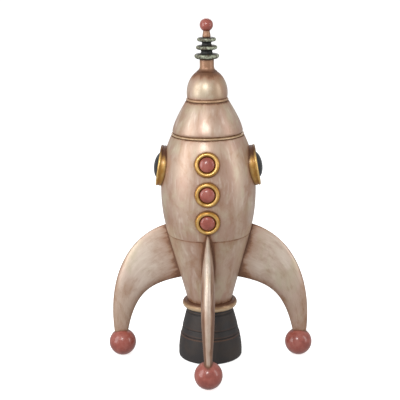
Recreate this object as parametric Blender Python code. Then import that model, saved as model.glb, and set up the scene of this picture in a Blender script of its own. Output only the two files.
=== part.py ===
"""Free-standing display rocket: a nozzle and tail carried on a centre mast, a hull with two portholes and
three sprung push buttons, a nose that lifts off, and four curved fins that stand on balls.

Sizes are in millimetres and angles in degrees, and MM turns them into metres. +Z is up, the origin is on the
floor under the axis, and the buttons face -Y."""

import math

import bmesh
import bpy
from mathutils import Matrix, Vector

MM = 0.001

# Fits and facets
GAP = 0.3  # between pieces that touch
ROUND = 24  # sides of the large turned pieces
FITTING_ROUND = 16  # sides of buttons, portholes and balls
ROD_ROUND = 8  # sides of rods, bolts and what they pass through
QUARTERS = {"right": 0, "back": 90, "left": 180, "front": 270}  # turn about +Z from +X

# Nozzle and base plate
NOZZLE_H = 193.2
NOZZLE_TOP_R = 84.0
NOZZLE_SKIRT_R = 117.8
NOZZLE_CORNER = 10.0
NOZZLE_WALL = 7.0
NOZZLE_DECK = 8.0
NOZZLE_GROOVES = (178.0, 119.0, 94.0)
GROOVE_WIDTH = 4.0
GROOVE_DEPTH = 1.8
BASE_PLATE = 12.0
BASE_EDGE = 2.0  # flat foot of the nozzle, between the base plate and the rounded corner
BASE_BOSS_R = 24.0
BASE_BOSS_H = 18.0
BASE_FLOOR = 4.0

# Tail ring and tail cone
RING_TUBE = 14.5
RING_R = 101.0
RING_BORE_R = 78.0
TAIL_H = 256.0
TAIL_FOOT_R = 82.0
SEAM_R = 150.5
SHELL_WALL = 5.0

# Hull
HULL_H = 361.7
HULL_TOP_R = 130.9
HULL_BELLY_UPPER = (44.4, -88.0)  # outline handle, from the hull's top edge
HULL_BELLY_LOWER = (37.0, 127.0)  # outline handle, from the seam
HULL_LIP_R = 117.0
HULL_LIP = 6.0
BAND_H = 8.6
BAND_R = 130.4

# Bulkheads and mast
MAST_R = 12.0
MAST_ABOVE = 20.0
NUT_R = 20.0
NUT_H = 12.0
BULKHEAD = 12.0
FLANGE = 6.0
FLANGE_DOWN = 54.0
FLANGE_UP = 22.0
UPPER_BULKHEAD_DROP = 17.0  # below the hull's top edge

# Nose
NOSE_CONE_H = 114.0
NOSE_RIM_R = 126.5
NOSE_RIM_H = 9.0
NOSE_TOP_R = 77.0
NOSE_RIM_HANDLE = (-5.9, 31.0)
NOSE_TOP_HANDLE = (20.6, -34.4)
NOSE_MOUTH_R = 62.0
NOSE_SPIGOT_WALL = 5.0
NOSE_SPIGOT_DEPTH = 22.0
SPIGOT_CLEARANCE = 0.8
BEAD_TUBE = 5.0
BEAD_R = 75.6
DOME_R = 73.3
DOME_H = 87.0
DOME_FOOT = 18.0  # the dome's foot is this far under its widest level
NECK_FOOT_R = 37.0
NECK_SPIGOT_R = 21.0
NECK_SPIGOT_DROP = 14.0
NECK_R = 25.5
NECK_H = 29.2  # straight stretch, over the flare
NECK_FLARE = 14.0
ROD_R = 5.0
ROD_TAIL = 10.0
DISC_LOWER = (43.8, 20.0, 27.0)  # rim radius, height, foot radius
DISC_MIDDLE = (38.0, 16.5, 24.0)
DISC_UPPER = (33.7, 15.4, 21.0)
SPACER_LOWER = (22.0, 12.2)  # radius, height
SPACER_UPPER = (18.6, 11.5)
COLLAR_H = 22.8
COLLAR_FOOT_R = 15.6
COLLAR_TOP_R = 12.4
TIP_BALL_R = 23.6
TIP_BALL_SEAT = 19.8  # from the ball's centre down to its flat

# Fins, foot balls and their fasteners
FOOT_CIRCLE_R = 330.0
FOOT_BALL_R = 50.0
FIN_TIP_WIDTH = 54.0
FIN_TIP_OUT = 3.8  # the tip's middle, outside the ball's middle
FIN_TIP_RISE = 52.0  # the tip's outline ends this far over the ball's middle
FIN_ROOT_ABOVE = 29.7  # over the seam
FIN_ROOT_BELOW = 173.7  # under the seam
FIN_OUTER_ROOT_HANDLE = (135.0, -42.0)
FIN_OUTER_TIP_HANDLE = (19.0, 216.0)
FIN_INNER_ROOT_HANDLE = (107.0, -22.0)
FIN_INNER_TIP_HANDLE = (-33.0, 153.0)
FIN_HALF_THICKNESS = (21.0, 35.0, 14.5)  # quadratic from root to tip
FIN_ROOT_POINT = 0.55  # how far the root's upper edge is drawn to a point
FIN_STATIONS = 9
FIN_SIDES = 12
FIN_BEYOND = 0.06  # share of the outline run on into the hull and into the ball
STUD_R = 5.0
STUD_IN_BALL = 10.0  # lower end, over the ball's middle
STUD_H = 70.0
BOLT_R = 4.0
BOLT_HEAD_R = 7.5
BOLT_HEAD_H = 5.0
BOLT_H = 48.0
BOLT_DROP = 36.0  # under the seam

# Portholes
PORTHOLE_H = 248.7  # middle over the seam
PORTHOLE_R = 75.0
PORTHOLE_WAIST_R = 72.5
PORTHOLE_OUT = 15.0
PORTHOLE_LIP = 14.0
PORTHOLE_GLASS_R = 50.0
GLASS_FLANGE = 3.5
GLASS_FLANGE_H = 3.5
GLASS_BULGE = 16.0  # beyond the bezel's rim

# Buttons
BUTTON_HEIGHTS = {"lower": 77.6, "middle": 179.3, "upper": 283.8}  # middles over the seam
BUTTON_R = 27.0
BUTTON_CLEARANCE = 1.0
BUTTON_CROWN = 14.0
BUTTON_SIDE = 5.0  # where the crown starts, over the hull
BUTTON_LIP = 2.7
BUTTON_LIP_H = 3.0
BUTTON_TRAVEL = 6.0
BEZEL_R = 44.0
BEZEL_RISE = 12.0
BEZEL_STEP = 2.3
HOUSING_WALL = 3.0
HOUSING_NECK_OUT = 1.6  # the neck's outer end, over the hull
HOUSING_DEPTH = 39.0
HOUSING_MARGIN = 2.5
STEM_R = 6.0
STEM_CLEARANCE = 1.1  # from the pressed stem to the switch
SWITCH = (20.0, 10.0, 14.0)
SWITCH_PLUNGER = 1.6
SPRING_R = 21.0
SPRING_WIRE_R = 1.3
SPRING_TURNS = 4.5
SPRING_POINTS_PER_TURN = 6

# Levels worked out from the sizes
RING_FOOT = NOZZLE_H + GAP
TAIL_FOOT = RING_FOOT + 2 * RING_TUBE + GAP
SEAM = TAIL_FOOT + TAIL_H
HULL_FOOT = SEAM + GAP
HULL_TOP = HULL_FOOT + HULL_H
BAND_FOOT = HULL_TOP + GAP
NOSE_FOOT = BAND_FOOT + BAND_H + GAP
MAST_BORE_R = MAST_R + 2 * GAP
ROD_BORE_R = ROD_R + GAP


def bezier(start, start_handle, end_handle, end, count):
    """Points of a cubic curve. The handles are given from the ends that they belong to."""
    return [bezier_point(start, start_handle, end_handle, end, i / count) for i in range(count + 1)]


def bezier_point(start, start_handle, end_handle, end, t):
    """One point of the cubic, which runs straight on outside 0 to 1."""
    inside = min(max(t, 0.0), 1.0)
    a, d = Vector(start), Vector(end)
    b, c = a + Vector(start_handle), d + Vector(end_handle)
    u = 1 - inside
    point = u**3 * a + 3 * u * u * inside * b + 3 * u * inside**2 * c + inside**3 * d
    return tuple(point + 3 * (t - inside) * (b - a if t < 0 else d - c))


def arc(centre, radii, start, end, count):
    """Points of an elliptical arc. Angles are in degrees, from the outline's +r axis."""
    angles = [math.radians(start + (end - start) * i / count) for i in range(count + 1)]
    return [(centre[0] + radii[0] * math.cos(a), centre[1] + radii[1] * math.sin(a)) for a in angles]


def inset(outline, wall):
    """The outline moved in by the wall. It runs from the top down, with the axis on its right."""
    moved = []
    for i, (radius, height) in enumerate(outline):
        before = Vector(outline[max(i - 1, 0)])
        after = Vector(outline[min(i + 1, len(outline) - 1)])
        along = (after - before).normalized()
        moved.append((radius + wall * along.y, height - wall * along.x))
    return moved


def radius_at(outline, height):
    """The outline's radius at a height, on its straight pieces. The outline runs from the top down."""
    for (r_high, high), (r_low, low) in zip(outline, outline[1:]):
        if low <= height <= high:
            return r_low + (r_high - r_low) * (height - low) / (high - low)
    return outline[0][0] if height > outline[0][1] else outline[-1][0]


def hull_outline(count=7):
    """Outer outline of the hull, from its top edge down to the seam."""
    top, seam = (HULL_TOP_R, HULL_TOP), (SEAM_R, HULL_FOOT)
    return bezier(top, HULL_BELLY_UPPER, HULL_BELLY_LOWER, seam, count)


def tail_outline():
    """Outer outline of the tail cone, from the seam down."""
    return [(SEAM_R, SEAM), (TAIL_FOOT_R, TAIL_FOOT)]


def skin_radius(height):
    """Outer radius of the hull or the tail at a height."""
    return radius_at(hull_outline() + tail_outline(), height)


def inner_radius(height):
    """Inner radius of the hull's or the tail's shell at a height."""
    inside = inset(hull_outline(), SHELL_WALL) + inset(tail_outline(), SHELL_WALL)
    level = [(radius, z) for (radius, _), (_, z) in zip(inside, hull_outline() + tail_outline())]
    return min(radius_at(level, height), radius_at(inside, height))


def finish(name, colour, roughness, metallic=0.0):
    made = bpy.data.materials.new(name)
    made.use_nodes = True
    shader = made.node_tree.nodes["Principled BSDF"]
    shader.inputs["Base Color"].default_value = (*colour, 1.0)
    shader.inputs["Roughness"].default_value = roughness
    shader.inputs["Metallic"].default_value = metallic
    return made


def add(name, data, frame, coat):
    """Puts mesh or curve data into the scene as one named object at the frame."""
    made = bpy.data.objects.new(name, data)
    bpy.context.scene.collection.objects.link(made)
    data.materials.append(coat)
    made.matrix_world = frame
    return made


def solid(name, mesh, frame, coat):
    """Turns an edited mesh into a smooth-shaded object with its faces out."""
    bmesh.ops.remove_doubles(mesh, verts=mesh.verts, dist=1e-7)
    bmesh.ops.recalc_face_normals(mesh, faces=mesh.faces)
    data = bpy.data.meshes.new(name)
    mesh.to_mesh(data)
    mesh.free()
    data.shade_smooth()
    data.set_sharp_from_angle(angle=math.radians(35))
    return add(name, data, frame, coat)


def turned(name, outline, sides, coat, frame=Matrix()):
    """A solid of revolution: the (radius, height) outline turned about the frame's Z axis."""
    mesh = bmesh.new()
    corners = [mesh.verts.new((radius * MM, 0, height * MM)) for radius, height in outline]
    edges = [mesh.edges.new(pair) for pair in zip(corners, corners[1:])]
    if outline[0][0] or outline[-1][0]:
        edges.append(mesh.edges.new((corners[-1], corners[0])))
    bmesh.ops.spin(
        mesh,
        geom=corners + edges,
        cent=(0, 0, 0),
        axis=(0, 0, 1),
        angle=math.tau,
        steps=sides,
        use_merge=True,
    )
    return solid(name, mesh, frame, coat)


def cutter(made):
    """Marks an object as a tool that shapes others and isn't a piece."""
    made.hide_render = True
    made.display_type = "WIRE"
    return made


def cut(target, *tools):
    for tool in tools:
        modifier = target.modifiers.new(f"cut by {tool.name}", "BOOLEAN")
        modifier.operation = "DIFFERENCE"
        modifier.object = tool


def apply_cuts(made):
    """Makes the cut shape the object's own mesh, so that copies can share it."""
    bpy.context.view_layer.update()
    data = bpy.data.meshes.new_from_object(made.evaluated_get(bpy.context.evaluated_depsgraph_get()))
    made.modifiers.clear()
    made.data = data


def turn(degrees):
    return Matrix.Rotation(math.radians(degrees), 4, "Z")


def half_side(sides):
    """A turn by half a side, which keeps a fitting's edges off the hull's own."""
    return turn(180 / sides)


def up(height):
    return Matrix.Translation((0, 0, height * MM))


def radial_frame(degrees, radius, height):
    """A frame at a point round the axis, with its Z pointing straight out from the axis."""
    place = Matrix.Translation((radius * MM, 0, height * MM))
    return turn(degrees) @ place @ Matrix.Rotation(math.radians(90), 4, "Y") @ half_side(ROD_ROUND)


def skin_frame(degrees, height):
    """A frame on the hull's outer surface, with its Z along the surface's outward normal."""
    fine, step = hull_outline(60), 10.0
    slope = (radius_at(fine, height + step) - radius_at(fine, height - step)) / (2 * step)
    tilt = Matrix.Rotation(math.atan(slope), 4, "Y")
    place = Matrix.Translation((skin_radius(height) * MM, 0, height * MM))
    out = Matrix.Rotation(math.radians(90), 4, "Y") @ half_side(FITTING_ROUND)
    return turn(degrees) @ place @ tilt @ out


def nozzle_outline():
    """Outer outline of the nozzle from its top to its rounded foot, with its three grooves."""
    corner = (NOZZLE_SKIRT_R - NOZZLE_CORNER, NOZZLE_CORNER)
    waist = bezier((NOZZLE_TOP_R, NOZZLE_H), (13.5, -54.0), (0.9, 52.0), (NOZZLE_SKIRT_R, 17.0), 24)
    half = GROOVE_WIDTH / 2
    plain = [p for p in waist[::4] if all(abs(p[1] - level) > GROOVE_WIDTH for level in NOZZLE_GROOVES)]
    steps = (half, 0, -half)
    cuts = [(level + step, GROOVE_DEPTH * (step == 0)) for level in NOZZLE_GROOVES for step in steps]
    grooved = plain + [(radius_at(waist, level) - depth, level) for level, depth in cuts]
    grooved.sort(key=lambda point: -point[1])
    return grooved + arc(corner, (NOZZLE_CORNER, NOZZLE_CORNER), 0, -90, 3)


def base_seat_radius():
    """The bore in the nozzle's foot that takes the base plate."""
    return NOZZLE_SKIRT_R - NOZZLE_CORNER - BASE_EDGE


def make_nozzle(coat):
    outside = nozzle_outline()
    deck = NOZZLE_H - NOZZLE_DECK
    levels = [deck * i / 3 for i in range(3, 0, -1)] + [BASE_PLATE + GAP]
    inside = [(radius_at(outside, level) - NOZZLE_WALL, level) for level in levels]
    seat_r = base_seat_radius()
    spigot_r = RING_BORE_R - 2 * GAP
    spigot_top = TAIL_FOOT - GAP
    top = [(MAST_BORE_R, deck), (MAST_BORE_R, spigot_top), (spigot_r, spigot_top), (spigot_r, NOZZLE_H)]
    foot = [(seat_r, 0), (seat_r, BASE_PLATE + GAP)]
    return turned("nozzle", top + outside + foot + inside[::-1], ROUND, coat)


def make_base_plate(coat):
    edge = base_seat_radius() - GAP
    boss_top = BASE_PLATE + BASE_BOSS_H
    outline = [(0, 0), (edge, 0), (edge, BASE_PLATE), (BASE_BOSS_R, BASE_PLATE)]
    outline += [(BASE_BOSS_R, boss_top), (MAST_BORE_R, boss_top)]
    outline += [(MAST_BORE_R, BASE_FLOOR), (0, BASE_FLOOR)]
    return turned("base_plate", outline, ROUND, coat)


def half_round_ring(name, outer_r, tube, bore_r, foot, coat):
    """A ring whose section is a half round outside and flat inside."""
    rim = arc((outer_r - tube, foot + tube), (tube, tube), -90, 90, 5)
    return turned(name, [(bore_r, foot)] + rim + [(bore_r, foot + 2 * tube)], ROUND, coat)


def make_tail_cone(coat):
    outside = tail_outline()
    level_inside = [(radius - SHELL_WALL, level) for radius, level in outside[::-1]]
    return turned("tail_cone", outside + level_inside, ROUND, coat)


def make_hull(coat):
    outside = hull_outline()
    inside = [(radius, z) for (radius, _), (_, z) in zip(inset(outside, SHELL_WALL), outside)]
    lip_foot = HULL_TOP - HULL_LIP
    inside = [point for point in inside if point[1] < lip_foot - 3]
    lip = [(radius_at(inside, lip_foot), lip_foot), (HULL_LIP_R, lip_foot), (HULL_LIP_R, HULL_TOP)]
    return turned("hull_shell", outside + inside[::-1] + lip, ROUND, coat)


def make_band(coat):
    """The bead between the hull and the nose, with a groove above it and one below."""
    middle, half = BAND_FOOT + BAND_H / 2, BAND_H / 2
    rim = arc((BAND_R - half, middle), (half, half * 0.8), -90, 90, 4)
    outline = [(HULL_LIP_R, BAND_FOOT), (BAND_R - half, BAND_FOOT)] + rim[1:-1]
    outline += [(BAND_R - half, BAND_FOOT + BAND_H), (HULL_LIP_R, BAND_FOOT + BAND_H)]
    return turned("band_ring", outline, ROUND, coat)


def make_bulkheads(coat, metal):
    """Three discs on the mast. The one at the seam has a flange that joins the tail to the hull."""
    foot, top = TAIL_FOOT + GAP, TAIL_FOOT + GAP + BULKHEAD
    edge = inner_radius(foot) - GAP
    outline = [(MAST_BORE_R, foot), (edge, foot), (inner_radius(top) - GAP, top), (MAST_BORE_R, top)]
    turned("lower_bulkhead", outline, ROUND, coat)

    low, high = SEAM - FLANGE_DOWN, SEAM + FLANGE_UP
    web = (SEAM - BULKHEAD / 2, SEAM + BULKHEAD / 2)
    outer = {z: inner_radius(z) - GAP for z in (low, SEAM, high, *web)}
    outer[SEAM] = min(inner_radius(SEAM), inner_radius(HULL_FOOT)) - GAP
    outline = [(MAST_BORE_R, web[0]), (outer[web[0]] - FLANGE, web[0]), (outer[low] - FLANGE, low)]
    outline += [(outer[low], low), (outer[SEAM], SEAM), (outer[high], high)]
    outline += [(outer[high] - FLANGE, high)]
    outline += [(outer[web[1]] - FLANGE, web[1]), (MAST_BORE_R, web[1])]
    seam_bulkhead = turned("seam_bulkhead", outline, ROUND, metal)

    top = HULL_TOP - UPPER_BULKHEAD_DROP
    foot = top - BULKHEAD
    edges = [(inner_radius(z) - GAP, z) for z in (foot, top)]
    turned("upper_bulkhead", [(MAST_BORE_R, foot), *edges, (MAST_BORE_R, top)], ROUND, coat)
    return seam_bulkhead


def make_mast(coat):
    foot = BASE_FLOOR + GAP
    nut_foot = HULL_TOP - UPPER_BULKHEAD_DROP + GAP
    top = HULL_TOP - UPPER_BULKHEAD_DROP + MAST_ABOVE
    turned("centre_mast", [(0, foot), (MAST_R, foot), (MAST_R, top), (0, top)], FITTING_ROUND, coat)
    nut_top = nut_foot + NUT_H
    nut = [(MAST_BORE_R, nut_foot), (NUT_R, nut_foot), (NUT_R, nut_top), (MAST_BORE_R, nut_top)]
    turned("mast_nut", nut, FITTING_ROUND, coat)


def stud_ball_outline(radius, stud_r, stud_end):
    """A ball about (0, FOOT_BALL_R), whose top a stud of this radius cuts, or rises from, up to stud_end."""
    meet = math.degrees(math.acos(stud_r / radius))
    middle, radii, rings = (0, FOOT_BALL_R), (radius, radius), FITTING_ROUND // 4
    ball = arc(middle, radii, meet, 0, rings) + arc(middle, radii, 0, -90, rings)[1:-1]
    return [(0, stud_end), (stud_r, stud_end)] + ball + [(0, FOOT_BALL_R - radius)]


def fin_outline_points(t):
    """Outer and inner edge of the fin in its own plane, at a share t of the way from hull to ball."""
    root_top = SEAM + FIN_ROOT_ABOVE
    root_foot = SEAM - FIN_ROOT_BELOW
    tip = FOOT_BALL_R + FIN_TIP_RISE
    tip_out = FOOT_CIRCLE_R + FIN_TIP_OUT + FIN_TIP_WIDTH / 2
    outer = bezier_point(
        (skin_radius(root_top), root_top), FIN_OUTER_ROOT_HANDLE, FIN_OUTER_TIP_HANDLE, (tip_out, tip), t
    )
    inner = bezier_point(
        (skin_radius(root_foot), root_foot),
        FIN_INNER_ROOT_HANDLE,
        FIN_INNER_TIP_HANDLE,
        (tip_out - FIN_TIP_WIDTH, tip),
        t,
    )
    return Vector(outer), Vector(inner)


def make_fins(coat, skin_tool, bolt_tool):
    """Four fins: elliptical sections from hull to ball, drawn to a point along the root's upper edge."""
    mesh = bmesh.new()
    rings = []
    root, middle, tip = FIN_HALF_THICKNESS
    for i in range(FIN_STATIONS + 1):
        t = -FIN_BEYOND + (1 + 2 * FIN_BEYOND) * i / FIN_STATIONS
        inside = min(max(t, 0.0), 1.0)
        outer, inner = fin_outline_points(t)
        half = (1 - inside) ** 2 * root + 2 * inside * (1 - inside) * middle + inside**2 * tip
        point = FIN_ROOT_POINT * (1 - inside) ** 2
        ring = []
        for k in range(FIN_SIDES):
            angle = math.tau * (k + 0.5) / FIN_SIDES
            along = math.cos(angle) / math.cos(math.pi / FIN_SIDES)
            spot = (outer + inner) / 2 + (outer - inner) / 2 * along
            across = half * math.sin(angle) * (1 - point * (1 + along) / 2)
            ring.append(mesh.verts.new((spot.x * MM, across * MM, spot.y * MM)))
        rings.append(ring)
    for ring, following in zip(rings, rings[1:]):
        for k in range(FIN_SIDES):
            n = (k + 1) % FIN_SIDES
            mesh.faces.new((ring[k], ring[n], following[n], following[k]))
    mesh.faces.new(rings[0])
    mesh.faces.new(rings[-1])
    fin = solid("fin_right", mesh, Matrix(), coat)

    stud_top = FOOT_BALL_R + STUD_IN_BALL + STUD_H + GAP
    foot_frame = Matrix.Translation((FOOT_CIRCLE_R * MM, 0, 0))
    foot_tool = stud_ball_outline(FOOT_BALL_R + GAP, STUD_R + GAP, stud_top)
    foot_tool = cutter(turned("foot_cutter", foot_tool, FITTING_ROUND, coat, foot_frame))
    cut(fin, skin_tool, bolt_tool, foot_tool)
    apply_cuts(fin)
    for side, degrees in QUARTERS.items():
        if side != "right":
            add_copy(f"fin_{side}", fin, turn(degrees))


def add_copy(name, original, frame):
    """Another object with the original's mesh."""
    made = bpy.data.objects.new(name, original.data)
    bpy.context.scene.collection.objects.link(made)
    made.matrix_world = frame
    return made


def make_feet(ball_coat, metal):
    """Foot balls, each bored from above for its stud."""
    bore_foot = FOOT_BALL_R + STUD_IN_BALL - GAP
    ball = stud_ball_outline(FOOT_BALL_R, STUD_R + GAP, bore_foot)
    stud_foot = FOOT_BALL_R + STUD_IN_BALL
    stud = [(0, stud_foot), (STUD_R, stud_foot), (STUD_R, stud_foot + STUD_H), (0, stud_foot + STUD_H)]
    for side, degrees in QUARTERS.items():
        frame = turn(degrees) @ Matrix.Translation((FOOT_CIRCLE_R * MM, 0, 0))
        turned(f"foot_ball_{side}", ball, FITTING_ROUND, ball_coat, frame)
        turned(f"foot_stud_{side}", stud, ROD_ROUND, metal, frame)


def bolt_seat_radius():
    """Where a fin bolt's head bears on the inside of the seam bulkhead's flange."""
    return inner_radius(SEAM - BOLT_DROP) - GAP - FLANGE


def bolt_outline(clearance, head_h):
    """A round-headed bolt along +Z from its bearing face, or the hole for it."""
    head, shank = BOLT_HEAD_R + clearance, BOLT_R + clearance
    end = BOLT_H + clearance
    return [(0, -head_h), (head, -head_h), (head, -GAP), (shank, -GAP), (shank, end), (0, end)]


def make_fin_bolts(coat):
    for side, degrees in QUARTERS.items():
        frame = radial_frame(degrees, bolt_seat_radius(), SEAM - BOLT_DROP)
        turned(f"fin_bolt_{side}", bolt_outline(0, BOLT_HEAD_H), ROD_ROUND, coat, frame)


def bolt_cutter(side, coat):
    frame = radial_frame(QUARTERS[side], bolt_seat_radius(), SEAM - BOLT_DROP)
    hole = bolt_outline(GAP, 3 * BOLT_HEAD_H)
    hole[2], hole[3] = (hole[2][0], 0), (hole[3][0], 0)
    return cutter(turned(f"bolt_cutter_{side}", hole, ROD_ROUND, coat, frame))


def make_portholes(bezel_coat, glass_coat, skin_tool):
    """Two portholes. The bezel's back follows the hull, and its lip traps the flange of the dark dome."""
    height = SEAM + PORTHOLE_H
    frame = skin_frame(QUARTERS["right"], height)
    reach = skin_radius(height) - math.sqrt(skin_radius(height) ** 2 - PORTHOLE_R**2) + 8.0
    bore_r = PORTHOLE_GLASS_R + GLASS_FLANGE + GAP
    flange_foot = 0.5
    flange_top = flange_foot + GLASS_FLANGE_H
    band = (PORTHOLE_R - PORTHOLE_LIP + PORTHOLE_R) / 2
    rim = arc((band, PORTHOLE_OUT - 5.0), (PORTHOLE_LIP / 2, 5.0), 0, 180, 4)
    outline = [(PORTHOLE_WAIST_R, -reach), (PORTHOLE_WAIST_R, 0.0), (PORTHOLE_R, 5.0)] + rim
    outline += [(PORTHOLE_GLASS_R + GAP, PORTHOLE_OUT - 9.0), (PORTHOLE_GLASS_R + GAP, flange_top + GAP)]
    outline += [(bore_r, flange_top + GAP), (bore_r, -reach)]
    bezel = turned("porthole_bezel_right", outline, FITTING_ROUND, bezel_coat, frame)
    cut(bezel, skin_tool)
    apply_cuts(bezel)

    flange_r = PORTHOLE_GLASS_R + GLASS_FLANGE
    crown = PORTHOLE_OUT + GLASS_BULGE
    bulge = arc((0, flange_top + 1.0), (PORTHOLE_GLASS_R, crown - flange_top - 1.0), 0, 90, 4)
    bulge[-1] = (0, crown)
    glass = [(0, flange_foot), (flange_r, flange_foot), (flange_r, flange_top)]
    glass += [(PORTHOLE_GLASS_R, flange_top)]
    dome = turned("porthole_dome_right", glass + bulge, FITTING_ROUND, glass_coat, frame)
    for piece in (bezel, dome):
        add_copy(piece.name.replace("right", "left"), piece, turn(QUARTERS["left"]) @ frame)


def make_button(where, coats, skin_tool):
    """One sprung push button: bezel, housing, dome, spring and switch. Returns the hull's hole."""
    height = SEAM + BUTTON_HEIGHTS[where]
    frame = skin_frame(QUARTERS["front"], height)
    guide_r = BUTTON_R + BUTTON_CLEARANCE
    neck_r = guide_r + HOUSING_WALL
    body_r = BUTTON_R + BUTTON_LIP + BUTTON_CLEARANCE + HOUSING_WALL
    seat = math.sqrt(inner_radius(height) ** 2 - body_r**2) - skin_radius(height) - HOUSING_MARGIN
    shoulder = seat - HOUSING_WALL

    half = (BEZEL_R - guide_r) / 2
    crown = arc((guide_r + half, BEZEL_STEP), (half, BEZEL_RISE - BEZEL_STEP), 0, 180, 4)
    back = -2.0 * BEZEL_RISE
    recess_r = neck_r + 2 * GAP
    bezel = [(recess_r, back), (BEZEL_R, back)] + crown[:-1] + [(guide_r, BEZEL_STEP + 1.0)]
    bezel += [(guide_r, BEZEL_STEP), (recess_r, BEZEL_STEP)]
    cut(turned(f"button_bezel_{where}", bezel, FITTING_ROUND, coats["gold"], frame), skin_tool)

    floor = shoulder - HOUSING_DEPTH + HOUSING_WALL
    bore_r = body_r - HOUSING_WALL
    under = floor - HOUSING_WALL
    housing = [(neck_r, HOUSING_NECK_OUT), (neck_r, seat), (body_r, seat), (body_r, under)]
    housing += [(STEM_R, under), (STEM_R, floor), (bore_r, floor), (bore_r, shoulder)]
    housing += [(guide_r, shoulder), (guide_r, HOUSING_NECK_OUT)]
    turned(f"button_housing_{where}", housing, FITTING_ROUND, coats["black"], frame)

    lip_top = shoulder - GAP
    lip_foot = lip_top - BUTTON_LIP_H
    stem_foot = floor + GAP + SWITCH[2] + SWITCH_PLUNGER + STEM_CLEARANCE + BUTTON_TRAVEL
    cap = [(0, stem_foot), (STEM_R, stem_foot), (STEM_R, lip_foot)]
    cap += [(BUTTON_R + BUTTON_LIP, lip_foot), (BUTTON_R + BUTTON_LIP, lip_top), (BUTTON_R, lip_top)]
    cap += arc((0, BUTTON_SIDE), (BUTTON_R, BUTTON_CROWN), 0, 90, 4)[:-1]
    cap += [(0, BUTTON_SIDE + BUTTON_CROWN)]
    turned(f"button_dome_{where}", cap, FITTING_ROUND, coats["rose"], frame)

    spring_inset = GAP + SPRING_WIRE_R
    make_spring(where, frame, floor + spring_inset, lip_foot - spring_inset, coats["steel"])
    make_switch(where, frame, floor + GAP, coats["black"])

    hole = [(0, -3 * BEZEL_RISE), (recess_r, -3 * BEZEL_RISE), (recess_r, BEZEL_RISE), (0, BEZEL_RISE)]
    return cutter(turned(f"button_hole_{where}", hole, FITTING_ROUND, coats["steel"], frame))


def make_spring(where, frame, foot, top, coat):
    """A compression spring: a round wire along a helix."""
    curve = bpy.data.curves.new(f"button_spring_{where}", "CURVE")
    curve.dimensions = "3D"
    curve.bevel_depth = SPRING_WIRE_R * MM
    curve.bevel_resolution = 0
    curve.use_fill_caps = True
    steps = round(SPRING_TURNS * SPRING_POINTS_PER_TURN)
    wire = curve.splines.new("POLY")
    wire.points.add(steps)
    for i, point in enumerate(wire.points):
        angle = math.tau * i / SPRING_POINTS_PER_TURN
        height = foot + (top - foot) * i / steps
        point.co = (SPRING_R * math.cos(angle) * MM, SPRING_R * math.sin(angle) * MM, height * MM, 1)
    add(curve.name, curve, frame, coat)


def make_switch(where, frame, foot, coat):
    """A switch block with its plunger, drawn out of the block's upper face."""
    length, width, tall = SWITCH
    mesh = bmesh.new()
    place = up(foot + tall / 2) @ Matrix.Diagonal((length * MM, width * MM, tall * MM, 1))
    bmesh.ops.create_cube(mesh, size=1, matrix=place)
    top = max(mesh.faces, key=lambda face: face.calc_center_median().z)
    bmesh.ops.inset_individual(mesh, faces=[top], thickness=width * MM / 3)
    drawn = bmesh.ops.extrude_discrete_faces(mesh, faces=[top])["faces"][0]
    bmesh.ops.translate(mesh, verts=drawn.verts, vec=(0, 0, SWITCH_PLUNGER * MM))
    solid(f"button_switch_{where}", mesh, frame, coat)


def disc_outline(size, foot, cone=0.0):
    """A disc with a rounded rim and a rod bore. cone lifts the rim's middle, over half the height."""
    rim_r, height, foot_r = size
    middle = foot + height / 2 + cone
    under = arc((foot_r, middle), (rim_r - foot_r, middle - foot), -90, 0, 3)
    over = arc((foot_r, middle), (rim_r - foot_r, foot + height - middle), 0, 90, 3)
    return [(ROD_BORE_R, foot)] + under + over[1:] + [(ROD_BORE_R, foot + height)]


def spacer_outline(size, foot):
    """A plain collar with a rod bore."""
    radius, height = size
    return [(ROD_BORE_R, foot), (radius, foot), (radius, foot + height), (ROD_BORE_R, foot + height)]


def dome_middle():
    return NOSE_FOOT + NOSE_CONE_H + GAP + 2 * BEAD_TUBE + GAP + DOME_FOOT


def dome_height_at(radius):
    """Level of the dome's outer surface at a radius."""
    return dome_middle() + DOME_H * math.sqrt(1 - (radius / DOME_R) ** 2)


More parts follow.
